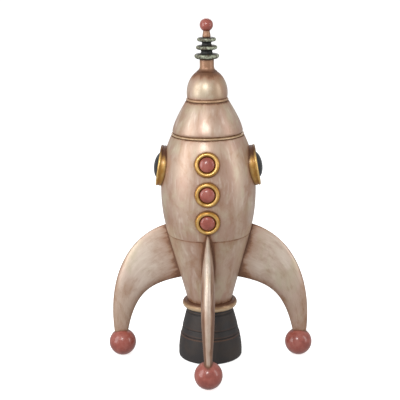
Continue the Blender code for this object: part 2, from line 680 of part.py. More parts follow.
def make_nose(coats):
    """The nose and the antenna on it, up to the tip ball. Every piece is returned."""
    cone_top = NOSE_FOOT + NOSE_CONE_H
    outside = bezier(
        (NOSE_TOP_R, cone_top), NOSE_TOP_HANDLE, NOSE_RIM_HANDLE, (NOSE_RIM_R, NOSE_FOOT + NOSE_RIM_H), 5
    )
    inside = [(radius, z) for (radius, _), (_, z) in zip(inset(outside, SHELL_WALL), outside)]
    lip_foot = cone_top - SHELL_WALL
    inside = [point for point in inside if point[1] < lip_foot - 3]
    spigot_r = HULL_LIP_R - SPIGOT_CLEARANCE
    foot_r = spigot_r + GAP
    rim = [(NOSE_RIM_R - 0.4, NOSE_FOOT + 2.5), (NOSE_RIM_R - 5.0, NOSE_FOOT), (foot_r, NOSE_FOOT)]
    joint = [(foot_r, NOSE_FOOT + NOSE_RIM_H)]
    lip = [(radius_at(inside, lip_foot), lip_foot), (NOSE_MOUTH_R, lip_foot), (NOSE_MOUTH_R, cone_top)]
    pieces = [turned("nose_cone", outside + rim + joint + inside[:-1][::-1] + lip, ROUND, coats["pearl"])]

    foot, top = NOSE_FOOT - NOSE_SPIGOT_DEPTH, NOSE_FOOT + NOSE_RIM_H - GAP
    bore_r = spigot_r - NOSE_SPIGOT_WALL
    spigot = [(bore_r, foot), (spigot_r, foot), (spigot_r, top), (bore_r, top)]
    pieces.append(turned("nose_spigot", spigot, ROUND, coats["glassfibre"]))

    bead_foot = cone_top + GAP
    bead_bore = NOSE_MOUTH_R
    pieces.append(half_round_ring("nose_bead", BEAD_R, BEAD_TUBE, bead_bore, bead_foot, coats["copper"]))

    start = -math.degrees(math.asin(DOME_FOOT / DOME_H))
    end = math.degrees(math.acos(NECK_FOOT_R / DOME_R))
    shell = arc((0, dome_middle()), (DOME_R, DOME_H), end, start, 6)
    hole_r = NECK_SPIGOT_R + 2 * GAP
    hole_top = dome_height_at(hole_r)
    hollow = arc((0, dome_middle()), (DOME_R - SHELL_WALL, DOME_H - SHELL_WALL), end, 0, 4)
    hollow.append((DOME_R - SHELL_WALL - 0.8, shell[-1][1]))
    dome = [(hole_r, hole_top)] + shell + hollow[::-1] + [(hole_r, hole_top - 1.6 * SHELL_WALL)]
    pieces.append(turned("nose_dome", dome, ROUND, coats["pearl"]))

    flare_foot = dome_height_at(NECK_FOOT_R) + 1.2
    neck_foot = flare_foot + NECK_FLARE
    neck_top = neck_foot + NECK_H
    flare = bezier(
        (NECK_R, neck_foot), (0, -0.55 * NECK_FLARE), (-6.0, 5.0), (NECK_FOOT_R, flare_foot), 3
    )
    spigot_foot = hole_top - NECK_SPIGOT_DROP
    neck = [(ROD_BORE_R, neck_top), (NECK_R, neck_top)] + flare
    neck += [(NECK_SPIGOT_R, hole_top + 1.2), (NECK_SPIGOT_R, spigot_foot), (ROD_BORE_R, spigot_foot)]
    pieces.append(turned("neck", neck, ROUND, coats["copper"]))

    level = neck_top + GAP
    stack = (
        ("disc_lower", DISC_LOWER, 2.0, "verdigris"),
        ("spacer_lower", SPACER_LOWER, 0.0, "dark"),
        ("disc_middle", DISC_MIDDLE, 0.0, "verdigris"),
        ("spacer_upper", SPACER_UPPER, 0.0, "dark"),
        ("disc_upper", DISC_UPPER, 0.0, "verdigris"),
    )
    for name, size, cone, coat in stack:
        outline = spacer_outline(size, level) if len(size) == 2 else disc_outline(size, level, cone)
        pieces.append(turned(name, outline, FITTING_ROUND, coats[coat]))
        level += size[1] + GAP

    collar_top = level + COLLAR_H
    collar = [(ROD_BORE_R, level), (COLLAR_FOOT_R, level), (COLLAR_FOOT_R, level + COLLAR_H / 3)]
    collar += [(COLLAR_TOP_R, collar_top), (ROD_BORE_R, collar_top)]
    pieces.append(turned("tip_collar", collar, FITTING_ROUND, coats["copper"]))

    seat = collar_top + GAP
    middle = seat + TIP_BALL_SEAT
    rod_top = middle
    flat = -math.degrees(math.asin(TIP_BALL_SEAT / TIP_BALL_R))
    ball = arc((0, middle), (TIP_BALL_R, TIP_BALL_R), flat, 90, 6)
    ball[-1] = (0, middle + TIP_BALL_R)
    ball = [(0, rod_top + GAP), (ROD_BORE_R, rod_top + GAP), (ROD_BORE_R, seat)] + ball
    pieces.append(turned("tip_ball", ball, FITTING_ROUND, coats["rose"]))

    rod_foot = spigot_foot - ROD_TAIL
    rod = [(0, rod_foot), (ROD_R, rod_foot), (ROD_R, rod_top), (0, rod_top)]
    pieces.append(turned("antenna_rod", rod, ROD_ROUND, coats["steel"]))
    return pieces


def skin_cutter(coat):
    """The hull and tail as one plug, grown by the gap. What sits on the hull is cut to fit with it."""
    grown = [(radius + GAP, z) for radius, z in hull_outline()[:-1] + tail_outline()]
    return cutter(turned("skin_cutter", [(0, grown[0][1])] + grown + [(0, grown[-1][1])], ROUND, coat))


def main():
    for old in list(bpy.data.objects):
        bpy.data.objects.remove(old, do_unlink=True)
    coats = {
        "pearl": finish("pearl champagne", (0.62, 0.5, 0.42), 0.38, 0.45),
        "gold": finish("antique gold", (0.6, 0.38, 0.12), 0.32, 0.85),
        "bronze": finish("bronze wash", (0.5, 0.36, 0.24), 0.35, 0.7),
        "copper": finish("copper wash", (0.48, 0.27, 0.17), 0.38, 0.6),
        "rose": finish("dusty rose", (0.42, 0.12, 0.11), 0.3),
        "charcoal": finish("charcoal", (0.05, 0.045, 0.042), 0.5, 0.2),
        "verdigris": finish("verdigris", (0.09, 0.12, 0.09), 0.4, 0.4),
        "dark": finish("dark spacer", (0.03, 0.028, 0.03), 0.5, 0.2),
        "smoke": finish("smoked glass", (0.03, 0.035, 0.045), 0.12),
        "glassfibre": finish("bare glass fibre", (0.45, 0.42, 0.3), 0.6),
        "plywood": finish("plywood", (0.5, 0.36, 0.2), 0.7),
        "steel": finish("zinc plated steel", (0.6, 0.6, 0.6), 0.35, 1.0),
        "black": finish("black plastic", (0.03, 0.03, 0.03), 0.45),
    }
    skin_tool = skin_cutter(coats["steel"])
    bolt_tools = {side: bolt_cutter(side, coats["steel"]) for side in QUARTERS}

    make_nozzle(coats["charcoal"])
    make_base_plate(coats["steel"])
    half_round_ring("tail_ring", RING_R, RING_TUBE, RING_BORE_R, RING_FOOT, coats["bronze"])
    cut(make_tail_cone(coats["pearl"]), *bolt_tools.values())
    cut(make_bulkheads(coats["plywood"], coats["glassfibre"]), *bolt_tools.values())
    make_mast(coats["steel"])
    make_fins(coats["pearl"], skin_tool, bolt_tools["right"])
    make_feet(coats["rose"], coats["steel"])
    make_fin_bolts(coats["steel"])

    hull = make_hull(coats["pearl"])
    make_band(coats["bronze"])
    make_portholes(coats["gold"], coats["smoke"], skin_tool)
    for where in BUTTON_HEIGHTS:
        cut(hull, make_button(where, coats, skin_tool))

    lift = bpy.data.objects.new("nose_lift", None)
    bpy.context.scene.collection.objects.link(lift)
    lift.location = (0, 0, NOSE_FOOT * MM)
    bpy.context.view_layer.update()
    for piece in make_nose(coats):
        piece.parent = lift
        piece.matrix_parent_inverse = lift.matrix_world.inverted()


main()
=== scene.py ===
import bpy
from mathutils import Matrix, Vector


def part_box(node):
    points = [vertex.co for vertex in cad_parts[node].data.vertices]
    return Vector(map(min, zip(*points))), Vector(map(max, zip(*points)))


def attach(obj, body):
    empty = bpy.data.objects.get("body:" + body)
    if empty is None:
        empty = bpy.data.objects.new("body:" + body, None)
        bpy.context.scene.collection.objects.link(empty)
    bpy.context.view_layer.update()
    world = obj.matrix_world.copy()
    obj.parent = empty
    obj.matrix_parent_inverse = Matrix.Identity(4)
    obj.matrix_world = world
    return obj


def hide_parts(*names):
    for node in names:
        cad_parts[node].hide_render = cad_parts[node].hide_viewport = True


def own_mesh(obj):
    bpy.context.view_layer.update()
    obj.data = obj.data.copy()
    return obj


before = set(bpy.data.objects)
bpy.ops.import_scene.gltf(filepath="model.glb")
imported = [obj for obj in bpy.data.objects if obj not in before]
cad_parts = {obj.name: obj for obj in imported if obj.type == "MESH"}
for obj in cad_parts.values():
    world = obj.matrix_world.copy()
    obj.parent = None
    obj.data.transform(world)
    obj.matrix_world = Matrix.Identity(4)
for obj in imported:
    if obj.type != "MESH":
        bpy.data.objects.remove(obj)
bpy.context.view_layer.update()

# A display rocket on four ball feet: fine surfaces and hand-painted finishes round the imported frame.
# Lengths are in millimetres and MM turns them into metres. Angles are in degrees. +Z is up, the floor is
# z = 0 and the buttons face -Y.

import math

import bpy
import numpy as np
from bpy.props import FloatProperty, FloatVectorProperty, IntProperty, PointerProperty
from bpy.types import Operator, Panel, PropertyGroup
from mathutils import Euler, Matrix

bl_info = {
    "name": "Display rocket",
    "version": (1, 0, 0),
    "blender": (4, 5, 0),
    "location": "3D View > Sidebar > Rocket",
    "description": "Builds the surfaces and finishes of a free-standing display rocket",
    "category": "Object",
}

MM = 0.001
SIDES = {"right": 0, "back": 90, "left": 180, "front": 270}  # turn about +Z from +X
BUTTONS = {"lower": 556.4, "middle": 658.1, "upper": 762.6}  # level of each button's middle on the hull

SEAM = 478.8
HULL_TOP = 840.8
SHELL_WALL = 5.0
TAIL_FOOT = 222.8
TAIL_FOOT_R = 82.0
SEAM_R = 150.5
NOZZLE_TOP = 193.2
PORTHOLE_LEVEL = 727.5
DOME_MIDDLE = 992.6
DOME_R, DOME_H = 73.3, 87.0
NECK_FOOT = 1069.0
ROD_BORE = 5.3
FIN_LOW, FIN_HIGH = 305.1, 508.5  # where a fin's two edges meet the skin
FIN_ROOT_HALF = 21.0
FOOT_CIRCLE_R = 330.0
FOOT_BALL_R = 50.0
NOZZLE_R = 117.8
NOZZLE_GROOVES = (178.0, 119.0, 94.0)
NOZZLE_CORE_R = 78.0  # all of the nozzle's outside is further out
BUTTON_HOLE_R = 31.6
BUTTON_BEZEL_R = 44.6
BUTTON_R, BUTTON_LIP_R, BUTTON_STEM_R = 27.0, 29.7, 6.0
BUTTON_LIP_H = 3.0
BUTTON_TRAVEL = 6.0
HOUSING_R = 33.7
CONE_FOOT, CONE_TOP = 850.0, 964.0
TIP_BALL_R = 23.6
SHARP_EDGE = 38  # an edge bent by more than this many degrees stays sharp


# ---- outlines


def bezier(start, start_handle, end_handle, end, count=24):
    """Points of a cubic curve. Each handle is given from the end that it belongs to."""
    t = np.linspace(0, 1, count + 1)[:, None]
    a, d = np.array(start, float), np.array(end, float)
    b, c = a + start_handle, d + end_handle
    return (1 - t) ** 3 * a + 3 * (1 - t) ** 2 * t * b + 3 * (1 - t) * t**2 * c + t**3 * d


def arc(middle, radii, start, end, count=12):
    """Points of an elliptical arc: middle + (radius cos angle, height sin angle)."""
    angle = np.radians(np.linspace(start, end, count + 1))
    return np.column_stack((middle[0] + radii[0] * np.cos(angle), middle[1] + radii[1] * np.sin(angle)))


def rounded(corners, reach, count=5):
    """A chain of corners whose inner corners are eased by quadratic curves.

    Each curve starts and ends at the reach from its corner, or at 0.45 of the side if that is shorter."""
    p = np.array(corners, float)
    at = p[1:-1]
    reach = np.broadcast_to(np.asarray(reach, float), (len(at),))[:, None]

    def towards(other):
        side = other - at
        length = np.linalg.norm(side, axis=1, keepdims=True)
        return at + side / length * np.minimum(reach, 0.45 * length)

    t = np.linspace(0, 1, count + 1)[None, :, None]
    a, b = towards(p[:-2])[:, None], towards(p[2:])[:, None]
    curve = (1 - t) ** 2 * a + 2 * t * (1 - t) * at[:, None] + t**2 * b
    return np.vstack((p[:1], curve.reshape(-1, 2), p[-1:]))


def run_length(outline):
    """Distance along an outline at each of its points."""
    steps = np.linalg.norm(np.diff(outline, axis=0), axis=1)
    return np.concatenate(([0.0], np.cumsum(steps)))


def filled(outline, step=4.0):
    """The outline with further points on its sides, so that no two are more than the step apart."""
    outline = np.asarray(outline, float)
    length = run_length(outline)
    outline = outline[np.concatenate(([True], np.diff(length) > 1e-6))]
    length = run_length(outline)
    extra = np.linspace(0, length[-1], int(length[-1] / step) + 2)
    clear = np.abs(extra[:, None] - length[None]).min(axis=1) > step * 0.3
    spots = np.sort(np.concatenate((length, extra[clear])))
    return np.column_stack([np.interp(spots, length, outline[:, k]) for k in range(2)])


def inset(outline, wall):
    """The outline moved sideways by the wall, to the left of its run."""
    along = np.gradient(outline, axis=0)
    along /= np.linalg.norm(along, axis=1, keepdims=True)
    return outline + wall * np.column_stack((-along[:, 1], along[:, 0]))


HULL_LINE = bezier((SEAM_R, 479.1), (37.0, 127.0), (44.4, -88.0), (130.9, HULL_TOP), 96)
TAIL_LINE = np.column_stack((np.linspace(TAIL_FOOT_R, SEAM_R, 65), np.linspace(TAIL_FOOT, SEAM, 65)))
SKIN_LINE = np.vstack((TAIL_LINE, HULL_LINE))


def skin_radius(level):
    """Outer radius of the tail and the hull at a level."""
    return np.interp(level, SKIN_LINE[:, 1], SKIN_LINE[:, 0])


# ---- places on the skin


def turn_about_z(degrees):
    """Matrix that turns a point, written as a column, about +Z."""
    c, s = math.cos(math.radians(degrees)), math.sin(math.radians(degrees))
    return np.array(((c, -s, 0), (s, c, 0), (0, 0, 1)))


def skin_frame(turn, level):
    """Origin and axes of a fitting on the hull: sideways, up along the skin, and out of it."""
    radius = skin_radius(level)
    slope = (skin_radius(level + 2) - skin_radius(level - 2)) / 4
    out = np.array((1.0, 0.0, -slope)) / math.hypot(1, slope)
    side = np.array((0.0, 1.0, 0.0))
    about = turn_about_z(turn)
    return about @ (radius, 0, level), about @ side, about @ np.cross(out, side), about @ out


def placed(spot, x, y, height):
    """Points at (x, y, height) along a fitting's own axes."""
    origin, side, up, out = spot
    return origin + x[..., None] * side + y[..., None] * up + height[..., None] * out


def skin_drop(spot, x, y):
    """How far the skin lies along the fitting's axis from its tangent plane, by repeated correction."""
    drop = np.zeros(np.broadcast(x, y).shape)
    for _ in range(12):
        p = placed(spot, x, y, drop)
        drop -= np.hypot(p[..., 0], p[..., 1]) - skin_radius(p[..., 2])
    return drop


def axis_distance(points, spot):
    """Distance of each point from a fitting's axis."""
    offset = points - spot[0]
    along = offset @ spot[3]
    return np.linalg.norm(offset - along[..., None] * spot[3], axis=-1)


def near(distance, width):
    """1 where the distance is nothing or less, falling to nothing over about the width, as a bell curve."""
    return np.exp(-((np.maximum(distance, 0) / width) ** 2))


def fin_half_thickness(share):
    """Half thickness of a fin at a share of the way from hull to ball: a quadratic from 21 by 35 to 14.5."""
    return (1 - share) ** 2 * FIN_ROOT_HALF + 2 * share * (1 - share) * 35 + share**2 * 14.5


def skin_glaze(points):
    """How much dark glaze and painted shade lie on the hull and tail: glaze round fittings, in the seam and
    along the fins, and painted shade over the whole tail cone and on the hull's sides round the portholes.
    """
    bezel_r, porthole_r = 44, 73
    x, y, z = points[..., 0], points[..., 1], points[..., 2]
    amount = 0.62 * near(np.abs(z - SEAM), 1.7) + 0.16 * near(np.abs(z - SEAM + 4), 12)
    amount += 0.55 * near(HULL_TOP - z, 2.2) + 0.30 * near(HULL_TOP - z, 24)
    # Brown glaze at the tail's foot. The even 0.20 over everything below the seam is painted shade on the
    # downward-facing tail cone.
    amount += 0.55 * near(z - TAIL_FOOT, 16) + 0.20 * (z < SEAM)
    for level in BUTTONS.values():
        away = axis_distance(points, skin_frame(SIDES["front"], level)) - bezel_r
        amount += np.where(y < 0, 0.6 * near(away, 2.6) + 0.30 * near(away, 11), 0)
    # Round each porthole: a thin ring of brown glaze at the bezel's foot, and a broad darkening over that
    # side of the hull that is painted shade on the hull's sides.
    for side, outward in (("right", x), ("left", -x)):
        away = axis_distance(points, skin_frame(SIDES[side], PORTHOLE_LEVEL)) - porthole_r
        amount += np.where(outward > 0, 0.5 * near(away, 4) + 0.5 * near(away, 34), 0)
    across = np.minimum(np.abs(x), np.abs(y))
    height = np.clip((z - FIN_LOW) / (FIN_HIGH - FIN_LOW), 0, 1)
    oval = np.sqrt(np.clip(1 - (2 * height - 1) ** 4, 0, 1))
    half = FIN_ROOT_HALF * np.clip(1.1 - 0.62 * height**2, 0.2, 1) * oval
    beyond = np.maximum(z - FIN_HIGH, 0) + np.maximum(FIN_LOW - z, 0)
    away = np.hypot(np.maximum(across - half, 0), beyond)
    return amount + 0.55 * near(away, 4) + 0.42 * near(away, 20)


# ---- meshes


def ring_quads(rows, columns, wrap_rows):
    """Corner numbers of the four-sided faces of a grid whose columns close on themselves."""
    i = np.arange(rows if wrap_rows else rows - 1)[:, None]
    j = np.arange(columns)[None]
    a, b = i * columns + j, i * columns + (j + 1) % columns
    c, d = ((i + 1) % rows) * columns + (j + 1) % columns, ((i + 1) % rows) * columns + j
    return np.stack((a, b, c, d), axis=-1).reshape(-1, 4)


def closed_surface(grid, grain):
    """Points, grain and faces of a closed surface from a grid whose columns go round.

    If the first and last rows are points on an axis they become poles, and otherwise the rows close too."""
    rows, columns = grid.shape[:2]
    points, fibre = grid.reshape(-1, 3), grain.reshape(-1, 3)
    if np.ptp(grid[0], axis=0).max() > 1e-6:
        return points, fibre, [ring_quads(rows, columns, True)]
    points = np.vstack((points[columns:-columns], grid[0, :1], grid[-1, :1]))
    fibre = np.vstack((fibre[columns:-columns], grain[0].mean(0)[None], grain[-1].mean(0)[None]))
    inner = rows - 2
    j = np.arange(columns)
    k = (j + 1) % columns
    low, high = np.full(columns, inner * columns), np.full(columns, inner * columns + 1)
    first = np.stack((low, k, j), axis=1)
    last = np.stack((high, (inner - 1) * columns + j, (inner - 1) * columns + k), axis=1)
    return points, fibre, [ring_quads(inner, columns, False), first, last]


def volume(points, faces):
    """Signed volume inside closed faces: a sixth of the sum of a . (b x c) over fans of triangles."""
    total = 0.0
    for group in faces:
        for n in range(1, group.shape[1] - 1):
            a, b, c = points[group[:, 0]], points[group[:, n]], points[group[:, n + 1]]
            total += np.einsum("ij,ij->", a, np.cross(b, c)) / 6
    return total


def make_piece(name, points, fibre, faces, slot, body="rocket", **marks):
    """Puts a closed surface in the scene as one piece that stands for the CAD node of its name.

    fibre is each point's place along the brush marks, and marks holds the glaze and the wear on it, which
    also carry painted shade and painted highlight."""
    if volume(points, faces) < 0:
        faces = [group[:, ::-1] for group in faces]
    mesh = bpy.data.meshes.new(name)
    mesh.from_pydata((points * MM).tolist(), [], [f for group in faces for f in group.tolist()])
    grain = mesh.attributes.new("grain", "FLOAT_VECTOR", "POINT")
    grain.data.foreach_set("vector", (fibre * MM).astype(np.float32).ravel())
    for mark in ("glaze", "wear"):
        values = np.broadcast_to(np.asarray(marks.get(mark, 0.0), np.float32), (len(points),))
        mesh.attributes.new(mark, "FLOAT", "POINT").data.foreach_set("value", np.ascontiguousarray(values))
    mesh.shade_smooth()
    mesh.set_sharp_from_angle(angle=math.radians(SHARP_EDGE))
    mesh.materials.append(finish_for(slot))
    piece = bpy.data.objects.new("fine_" + name, mesh)
    bpy.context.scene.collection.objects.link(piece)
    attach(piece, body)
    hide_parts(name)
    return piece


def turned_grid(outline, around, spot=None, follow=None):
    """The outline (radius, height) turned about an axis: about +Z, or about a fitting's axis on the skin.

    follow gives each row's share of the skin's drop that its height takes. Grain runs along the outline."""
    theta = np.linspace(0, math.tau, around, endpoint=False)[None]
    x, y = outline[:, :1] * np.cos(theta), outline[:, :1] * np.sin(theta)
    height = np.broadcast_to(outline[:, 1:2], x.shape).copy()
    along = np.broadcast_to(run_length(outline)[:, None], x.shape)
    mean = max(float(outline[:, 0].mean()), 1.0)
    grain = np.stack((mean * np.cos(theta) + 0 * x, mean * np.sin(theta) + 0 * x, along), axis=-1)
    if spot is None:
        return np.stack((x, y, height), axis=-1), grain
    if follow is not None:
        height += np.asarray(follow, float)[:, None] * skin_drop(spot, x, y)
    return placed(spot, x, y, height), grain


def turned_surface(outline, around, spot=None, follow=None):
    """Points, grain and faces of the closed surface that the turned outline makes."""
    return closed_surface(*turned_grid(outline, around, spot, follow))


def turned_piece(name, outline, around, slot, body="rocket", glaze=None, wear=None, step=4.0):
    """A piece turned about +Z. glaze and wear, which also carry painted shade and painted highlight, are
    functions of radius and level.
    """
    surface = turned_surface(filled(outline, step), around)
    points = surface[0]
    radius, level = np.hypot(points[:, 0], points[:, 1]), points[:, 2]
    marks = {key: rule(radius, level) for key, rule in (("glaze", glaze), ("wear", wear)) if rule}
    return make_piece(name, *surface, slot, body, **marks)


def bezel_surface(outline, drops, step, around, spot):
    """A bezel's closed surface on the skin, and the radius and height of each of its points.

    drops gives the share of the skin's drop at each point of the outline."""
    line = filled(outline, step)
    share = np.interp(run_length(line), run_length(outline), drops)
    rows = np.repeat(np.arange(len(line)), around)
    return turned_surface(line, around, spot, share), line[rows, 0], line[rows, 1]


def window(rows, columns):
    """Row and column numbers round the edge of a window in a grid, in order, as two arrays."""
    (i0, i1), (j0, j1) = rows, columns
    i = [np.full(j1 - j0, i0), np.arange(i0, i1), np.full(j1 - j0, i1), np.arange(i1, i0, -1)]
    j = [np.arange(j0, j1), np.full(i1 - i0, j1), np.arange(j1, j0, -1), np.full(i1 - i0, j0)]
    return np.concatenate(i), np.concatenate(j)


def hull_surface(around, hole_r):
    """The hull's shell with a round hole under each button.

    The closed outline runs up the outside, over the lip and down the inside. At each button a window is
    taken out of both walls, and rings of points lead from the window's edge to the hole and through it."""
    inner = inset(HULL_LINE, SHELL_WALL)
    lip_foot = HULL_TOP - 6
    keep = inner[:, 1] < lip_foot - 4
    lip = [HULL_LINE[-1] - (0.5, 0.3), (117, HULL_TOP), (117, lip_foot), (inner[keep][-1][0], lip_foot)]
    outline = np.vstack((HULL_LINE[:-1], rounded(lip, 1.0), inner[keep][::-1]))
    rows = len(outline)
    grid, grain = turned_grid(outline, around)
    quads = ring_quads(rows, around, True)
    points, fibre = [grid.reshape(-1, 3)], [grain.reshape(-1, 3)]
    total, gone, bridges = rows * around, np.zeros(len(quads), bool), []
    quad_row, quad_column = np.divmod(np.arange(len(quads)), around)
    half_window, mean_r = 40, 166
    middle_column = round(around * SIDES["front"] / 360)
    half_columns = round(half_window / (math.tau * mean_r / around))
    for level in BUTTONS.values():
        spot = skin_frame(SIDES["front"], level)
        near_rows = np.flatnonzero(np.abs(HULL_LINE[:, 1] - level) < half_window)
        i0, i1 = near_rows[0], near_rows[-1]
        j0, j1 = middle_column - half_columns, middle_column + half_columns
        inside_columns = (quad_column >= j0) & (quad_column < j1)
        gone |= inside_columns & (quad_row >= i0) & (quad_row < i1)
        gone |= inside_columns & (quad_row >= rows - 1 - i1) & (quad_row < rows - 1 - i0)
        i, j = window((i0, i1), (j0, j1))
        theta = math.tau * j / around
        edge_level = HULL_LINE[i, 1]
        bearing = np.arctan2(edge_level - level, mean_r * (theta - math.radians(SIDES["front"])))
        x, y = hole_r * np.cos(bearing), hole_r * np.sin(bearing)
        hole = placed(spot, x, y, skin_drop(spot, x, y))
        hole_theta = np.arctan2(hole[:, 1], hole[:, 0]) % math.tau
        share = np.linspace(0, 1, 7)[1:, None]
        ring_theta = theta + (hole_theta - theta) * share
        ring_level = edge_level + (hole[:, 2] - edge_level) * share
        outer = np.interp(ring_level, HULL_LINE[:, 1], HULL_LINE[:, 0])
        under = np.stack([np.interp(ring_level, HULL_LINE[:, 1], inner[:, k]) for k in range(2)], axis=-1)
        out_ring, in_ring = (
            np.stack((radius * np.cos(ring_theta), radius * np.sin(ring_theta), height), axis=-1)
            for radius, height in ((outer, ring_level), (under[..., 0], under[..., 1]))
        )
        rings = np.concatenate((out_ring, in_ring[::-1]))
        numbers = total + np.arange(rings.shape[0] * len(i)).reshape(rings.shape[0], len(i))
        total += numbers.size
        points.append(rings.reshape(-1, 3))
        fibre.append(rings.reshape(-1, 3))
        loop = np.vstack((i * around + j, numbers, (rows - 1 - i) * around + j))
        following = np.roll(loop, -1, axis=1)
        bridges.append(np.stack((loop[:-1], following[:-1], following[1:], loop[1:]), axis=-1).reshape(-1, 4))
    points, fibre, bridges = (np.concatenate(parts) for parts in (points, fibre, bridges))
    used = np.unique(np.concatenate((quads[~gone].ravel(), bridges.ravel())))
    renumber = np.zeros(len(points), int)
    renumber[used] = np.arange(len(used))
    return points[used], fibre[used], [renumber[quads[~gone]], renumber[bridges]]


# ---- shader maths


class Value:
    """A socket in a finish. Arithmetic on it adds Math nodes."""

    def __init__(self, finish, socket):
        self.finish = finish
        self.socket = socket

    def math(self, operation, *others):
        inputs = dict(enumerate((self, *others)))
        return self.finish.node("ShaderNodeMath", {"operation": operation}, inputs)

    def __add__(self, other):
        return self.math("ADD", other)

    def __sub__(self, other):
        return self.math("SUBTRACT", other)

    def __rsub__(self, other):
        return self.finish.node("ShaderNodeMath", {"operation": "SUBTRACT"}, {0: other, 1: self})

    def __mul__(self, other):
        return self.math("MULTIPLY", other)

    __radd__, __rmul__ = __add__, __mul__


class Finish:
    """One material. Every node in it comes from node()."""

    def __init__(self, slot):
        self.slot = slot
        self.material = bpy.data.materials.new(slot)
        self.material.use_nodes = True
        self.tree = self.material.node_tree
        self.shader = self.tree.nodes["Principled BSDF"]
        self.colours = bpy.context.scene.rocket.colours

    def node(self, kind, settings=None, inputs=None, output=0):
        """Adds a node, applies its settings, then gives its sockets their values or links."""
        made = self.tree.nodes.new(kind)
        for key, value in (settings or {}).items():
            setattr(made, key, value)
        for key, value in (inputs or {}).items():
            self.feed(made.inputs[key], value)
        return Value(self, made.outputs[output])

    def feed(self, socket, value):
        """Gives a socket a link, a number, a vector, a colour or the name of a colour in the settings."""
        if isinstance(value, str):
            value = getattr(self.colours, value)
        if isinstance(value, Value):
            self.tree.links.new(value.socket, socket)
        elif hasattr(value, "__len__") and len(value) == 3 and socket.type == "RGBA":
            socket.default_value = (*value, 1.0)
        else:
            socket.default_value = value

    def place(self):
        return self.node("ShaderNodeTexCoord", output="Object")

    def mark(self, name, output="Fac"):
        return self.node("ShaderNodeAttribute", {"attribute_name": name}, output=output)

    def noise(self, vector, scale, detail=2.0, rough=0.5, distortion=0.0):
        inputs = {"Vector": vector, "Scale": scale, "Detail": detail, "Roughness": rough}
        return self.node("ShaderNodeTexNoise", None, inputs | {"Distortion": distortion})

    def streaks(self, vector, factors, detail=3.0, rough=0.6, distortion=0.0, shift=(0, 0, 0)):
        """Noise on the vector times the factors plus the shift."""
        settings = {"operation": "MULTIPLY_ADD"}
        stretched = self.node("ShaderNodeVectorMath", settings, {0: vector, 1: factors, 2: shift})
        return self.noise(stretched, 1.0, detail, rough, distortion)

    def band(self, value, low, high):
        """0 below low, 1 above high and a smooth rise between."""
        settings = {"interpolation_type": "SMOOTHSTEP"}
        return self.node("ShaderNodeMapRange", settings, {0: value, 1: low, 2: high})

    def mix(self, a, b, factor):
        """Colour a with colour b laid over it by the factor."""
        return self.node("ShaderNodeMix", {"data_type": "RGBA"}, {0: factor, 6: a, 7: b}, output=2)

    def capped(self, value):
        return value.math("MINIMUM", 1.0)

    def give(self, **sockets):
        """Feeds the shader's sockets, named with _ for a space."""
        for socket, value in sockets.items():
            self.feed(self.shader.inputs[socket.replace("_", " ")], value)

    def bump(self, height, strength, distance):
        inputs = {"Height": height, "Strength": strength, "Distance": distance}
        self.give(Normal=self.node("ShaderNodeBump", None, inputs))


def pearl_finish(f):
    """Pearl champagne paint, brushed by hand: warm and olive clouds, streaks, specks and a brown glaze, with
    painted shade and painted highlight laid on through the glaze and wear marks.
    """
    f.give(IOR=1.5, Coat_Roughness=0.32, Coat_IOR=1.5)
    grain, place = f.mark("grain", "Vector"), f.place()
    fine = f.streaks(grain, (260, 260, 14))
    strokes = f.streaks(grain, (46, 46, 11.0), 5.0, 0.6, 0.6, (3, 1, 2))
    clouds = f.streaks(place, (11, 11, 6.0), 4.0, 0.62, 0.5, (1.7, 4.1, 0.4))
    tints = f.streaks(place, (9, 9, 7.0), 4.0, 0.6, 0.6, (5.2, 0.3, 7.9))
    fleck = f.streaks(grain, (210, 210, 110), 3.0, 0.65)
    patches = f.streaks(grain, (17, 17, 11), 5.0, 0.60, 0.5, (6, 2, 9))
    colour = f.mix("champagne", "pink", f.band(clouds, 0.42, 0.60) * 0.75)
    # The wear mark lightens towards the pale colour: paler fin faces, and a painted highlight on the outer
    # edge of the front and back fins.
    colour = f.mix(colour, "highlight", f.capped(f.mark("wear") * (0.50 + 0.7 * strokes)))
    colour = f.mix(colour, "olive", f.band(tints, 0.48, 0.64) * 0.60)
    colour = f.mix(colour, "highlight", f.band(strokes, 0.52, 0.70) * 0.40)
    colour = f.mix(colour, "amber", f.band(1 - strokes, 0.52, 0.70) * 0.34)
    colour = f.mix(colour, "amber", f.band(patches, 0.47, 0.66) * (0.42 - 0.20 * f.mark("wear")))
    # The glaze mark is brown glaze, and painted shade on the tail cone, the hull's sides and the flat sides
    # of the front and back fins.
    glaze = f.mark("glaze") * (0.30 + 0.55 * f.band(strokes, 0.30, 0.70) + 0.65 * patches)
    glaze += 0.08 * f.band(1 - fine, 0.5, 0.7)
    specks = f.band(fleck, 0.58, 0.70) * f.band(patches, 0.46, 0.62) * (0.34 - 0.16 * f.mark("wear"))
    cover = f.capped(f.band(glaze, 0.03, 1.0) + specks)
    colour = f.mix(colour, "glaze_warm", f.capped(cover * 1.3) * 0.80)
    colour = f.mix(colour, "glaze_dark", f.band(cover, 0.60, 1.1) * 0.75)
    f.give(Base_Color=colour, Roughness=0.37 + 0.10 * fine + 0.16 * cover)
    f.give(Metallic=0.42 - 0.32 * cover, Coat_Weight=0.50 - 0.35 * cover)
    f.bump(fine * 0.3 + patches * 0.7 - cover * 0.4, 0.4, 0.0008)


# a metal's colour, and how metallic it is
METALS = {"antique_gold": ("gold", 0.75), "bronze_wash": ("bronze", 0.5), "copper_wash": ("copper", 0.4)}


